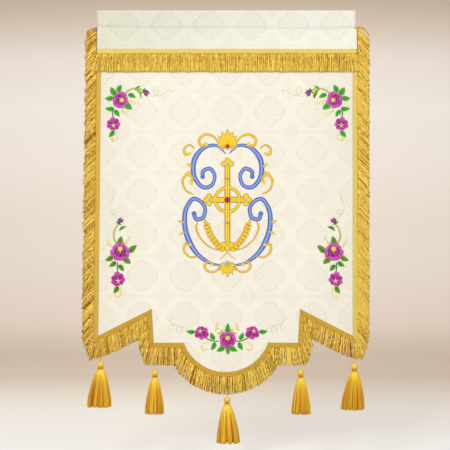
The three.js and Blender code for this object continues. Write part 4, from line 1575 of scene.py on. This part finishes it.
class BANNER_OT_fringe(bpy.types.Operator):
    """Sew the braid and its bullion fringe round the field and on the flap"""

    bl_idname = "banner.fringe"
    bl_label = "Fringe"

    def execute(self, context):
        settings = context.scene.banner_fringe
        finishes = (braid_material(settings), bullion_material(settings))
        for order, (node, look) in enumerate(EDGE_FRINGES):
            run = slice(CORNERS[order], CORNERS[order + 1] + 1)
            edges = [drawn_in(line[run], LAYER_GAP / 2) for line in (BRAID_INNER, BRAID_OUTER)]
            more = [loose_end(settings)] if node == "fringe_side_right" else []
            sew_fringe(node, edges, BRAID_BACK, finishes, settings, 20 + order, look, more)
        inner = np.array([(-FLAP_HALF, FLAP_BRAID_Z), (FLAP_HALF, FLAP_BRAID_Z)])
        edges = (inner, inner - (0, BRAID_WIDTH))
        back = FLAP_FRONT - LAYER_GAP
        sew_fringe("fringe_top", edges, back, finishes, settings, 61, TOP_FRINGE)
        return {"FINISHED"}


class BANNER_OT_tassels(bpy.types.Operator):
    """Hang the five tassels on their cords"""

    bl_idname = "banner.tassels"
    bl_label = "Tassels"

    def execute(self, context):
        settings = context.scene.banner_tassels
        yarn = silk_material(settings)
        for number in range(1, 6):
            tassel = Tassel(number)
            patches = [head_patch(tassel), tie_patch(tassel), *skirt_patches(tassel, settings)]
            piece(f"tassel_yarn_{number}", patches, yarn, [f"tassel_{number}"])
            cord = [cord_patch(tassel)]
            piece(f"tassel_twist_{number}", cord, yarn, [f"tassel_cord_{number}"])
        return {"FINISHED"}


class BANNER_OT_embroidery(bpy.types.Operator):
    """Embroider the flower sprays and the middle design"""

    bl_idname = "banner.embroidery"
    bl_label = "Embroidery"

    def execute(self, context):
        silk = embroidery_material(context.scene.banner_embroidery)
        corner, side, foot = corner_spray(), side_spray(), foot_spray_side()
        sprays = {
            "spray_upper_left": corner,
            "spray_upper_right": reflections(corner),
            "spray_lower_left": side,
            "spray_lower_right": reflections(side),
            "spray_foot": [*foot, *reflections(foot), *foot_rose()],
            "middle_design": middle_design(),
        }
        for name, patches in sprays.items():
            piece(name, [patch.hung() for patch in patches], silk)
        return {"FINISHED"}


# What the camera looks at, straight on.
VIEW_MIDDLE = (-3.5, -745.4)

# The paper's painted light and shade: its colours, each with its distance along the paper from the
# edge behind the camera.
PAPER_LIGHT_AND_SHADE = (
    (14.2, (242, 240, 237)),
    (15.1, (243, 237, 228)),
    (15.8, (231, 218, 202)),
    (16.3, (218, 201, 183)),
    (17.35, (215, 199, 180)),
    (17.95, (221, 208, 191)),
    (19.35, (237, 224, 211)),
    (19.8, (243, 234, 222)),
    (20.45, (249, 242, 234)),
    (20.9, (248, 243, 236)),
    (21.3, (239, 230, 222)),
    (21.6, (213, 199, 184)),
    (21.78, (197, 180, 162)),
)

# The lights: each one's place, what it looks at, its size and its power.
BANNER_MIDDLE = (0, 0, -0.72)
LIGHTS = {
    "key": ((-2.6, -5.2, 2.2), BANNER_MIDDLE, 2.6, 185),
    "fill": ((3.4, -4.6, 0.2), BANNER_MIDDLE, 3, 80),
    "overhead": ((0, 1.4, 3.4), (0, 3.6, -1), 3.6, 112),
}
SENSOR = 36


def stage_surface(settings):
    """The floor and the wall behind it as one sheet: level, then a quarter circle, then up."""
    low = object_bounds()[0][2] - settings.floor_drop
    near, far, radius, high = -14, 5.5, 0.8, 6
    turn = np.linspace(0, np.pi / 2, 17)
    cove = (far - radius, low + radius) + radius * bearing(turn - np.pi / 2)
    profile = np.concatenate([[(near, low)], cove, [(far, low + high)]])
    x = np.linspace(10, -10, 3)
    grid = joined(x[:, None], *profile.T)
    return skin(grid[None] / MM, lengths(profile), x[0] - x, closed=False)


def stage_material():
    """Matt paper whose colour follows the distance along it: painted light and shade over the floor
    and the wall.
    """
    graph = Graph("Studio paper", Specular_IOR_Level=0.15, Roughness=0.9)
    first, last = PAPER_LIGHT_AND_SHADE[0][0], PAPER_LIGHT_AND_SHADE[-1][0]
    ramp = graph.nodes.new("ShaderNodeValToRGB")
    graph.put(ramp, "Fac", graph.spread(graph.place("UV")[0], first, last))
    stops = ramp.color_ramp.elements
    for distance, _ in PAPER_LIGHT_AND_SHADE[1:-1]:
        stops.new((distance - first) / (last - first))
    for stop, (_, colour) in zip(stops, PAPER_LIGHT_AND_SHADE):
        stop.color = (*linear(colour), 1)
    graph.colour(ramp.outputs[0])
    return graph.material


def area_light(name, place, target, size, power):
    """A soft white square light that looks at a place."""
    data = bpy.data.lights.new(name, "AREA")
    data.shape = "SQUARE"
    data.size = size
    data.energy = power
    thing = bpy.data.objects.new(name, data)
    bpy.context.scene.collection.objects.link(thing)
    thing.location = place
    thing.rotation_euler = (Vector(target) - Vector(place)).to_track_quat("-Z", "Y").to_euler()


class BANNER_OT_stage(bpy.types.Operator):
    """Set the paper, the lights and the camera"""

    bl_idname = "banner.stage"
    bl_label = "Stage"

    def execute(self, context):
        scene = context.scene
        settings = scene.banner_stage
        surface = mesh_from("studio_paper", [stage_surface(settings)])
        paper = bpy.data.objects.new("studio_paper", surface)
        scene.collection.objects.link(paper)
        paper.data.materials.append(stage_material())
        paper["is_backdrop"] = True
        for name, light in LIGHTS.items():
            area_light(name, *light)
        world = bpy.data.worlds.new("Studio air")
        world.use_nodes = True
        air = world.node_tree.nodes["Background"]
        air.inputs["Color"].default_value = (1, 1, 1, 1)
        air.inputs["Strength"].default_value = 0.42
        scene.world = world
        scene.view_settings.view_transform = "Standard"
        data = bpy.data.cameras.new("camera")
        data.sensor_width = SENSOR
        data.lens = SENSOR * settings.camera_distance / settings.frame_width
        data.clip_end = 60
        camera = bpy.data.objects.new("camera", data)
        scene.collection.objects.link(camera)
        camera.location = (VIEW_MIDDLE[0] * MM, -settings.camera_distance, VIEW_MIDDLE[1] * MM)
        camera.rotation_euler = (math.pi / 2, 0, 0)
        scene.camera = camera
        return {"FINISHED"}


class BANNER_PT_sidebar(bpy.types.Panel):
    """The banner's pieces and their sizes"""

    bl_idname = "BANNER_PT_sidebar"
    bl_label = "Church banner"
    bl_space_type = "VIEW_3D"
    bl_region_type = "UI"
    bl_category = "Banner"

    def draw(self, context):
        """Lists every setting and every operator."""
        layout = self.layout
        for name in GROUPS:
            settings = getattr(context.scene, name)
            box = layout.box()
            for key in settings.__annotations__:
                box.prop(settings, key)
        for operator in OPERATORS:
            layout.operator(operator.bl_idname)


GROUPS = {
    "banner_cloth": ClothSettings,
    "banner_fringe": FringeSettings,
    "banner_tassels": TasselSettings,
    "banner_embroidery": EmbroiderySettings,
    "banner_stage": StageSettings,
}

OPERATORS = (
    BANNER_OT_cloth,
    BANNER_OT_seams,
    BANNER_OT_fringe,
    BANNER_OT_tassels,
    BANNER_OT_embroidery,
    BANNER_OT_stage,
)

CLASSES = (*GROUPS.values(), *OPERATORS, BANNER_PT_sidebar)


def register():
    """Registers the classes and hangs each group of settings on the scene."""
    for group in CLASSES:
        bpy.utils.register_class(group)
    for name, group in GROUPS.items():
        setattr(bpy.types.Scene, name, PointerProperty(type=group))


def unregister():
    """Takes the groups and the classes away again."""
    for name in GROUPS:
        delattr(bpy.types.Scene, name)
    for group in reversed(CLASSES):
        bpy.utils.unregister_class(group)


def main():
    """Makes every piece in order."""
    register()
    bpy.ops.banner.cloth()
    bpy.ops.banner.seams()
    bpy.ops.banner.fringe()
    bpy.ops.banner.tassels()
    bpy.ops.banner.embroidery()
    bpy.ops.banner.stage()


if __name__ == "__main__":
    main()
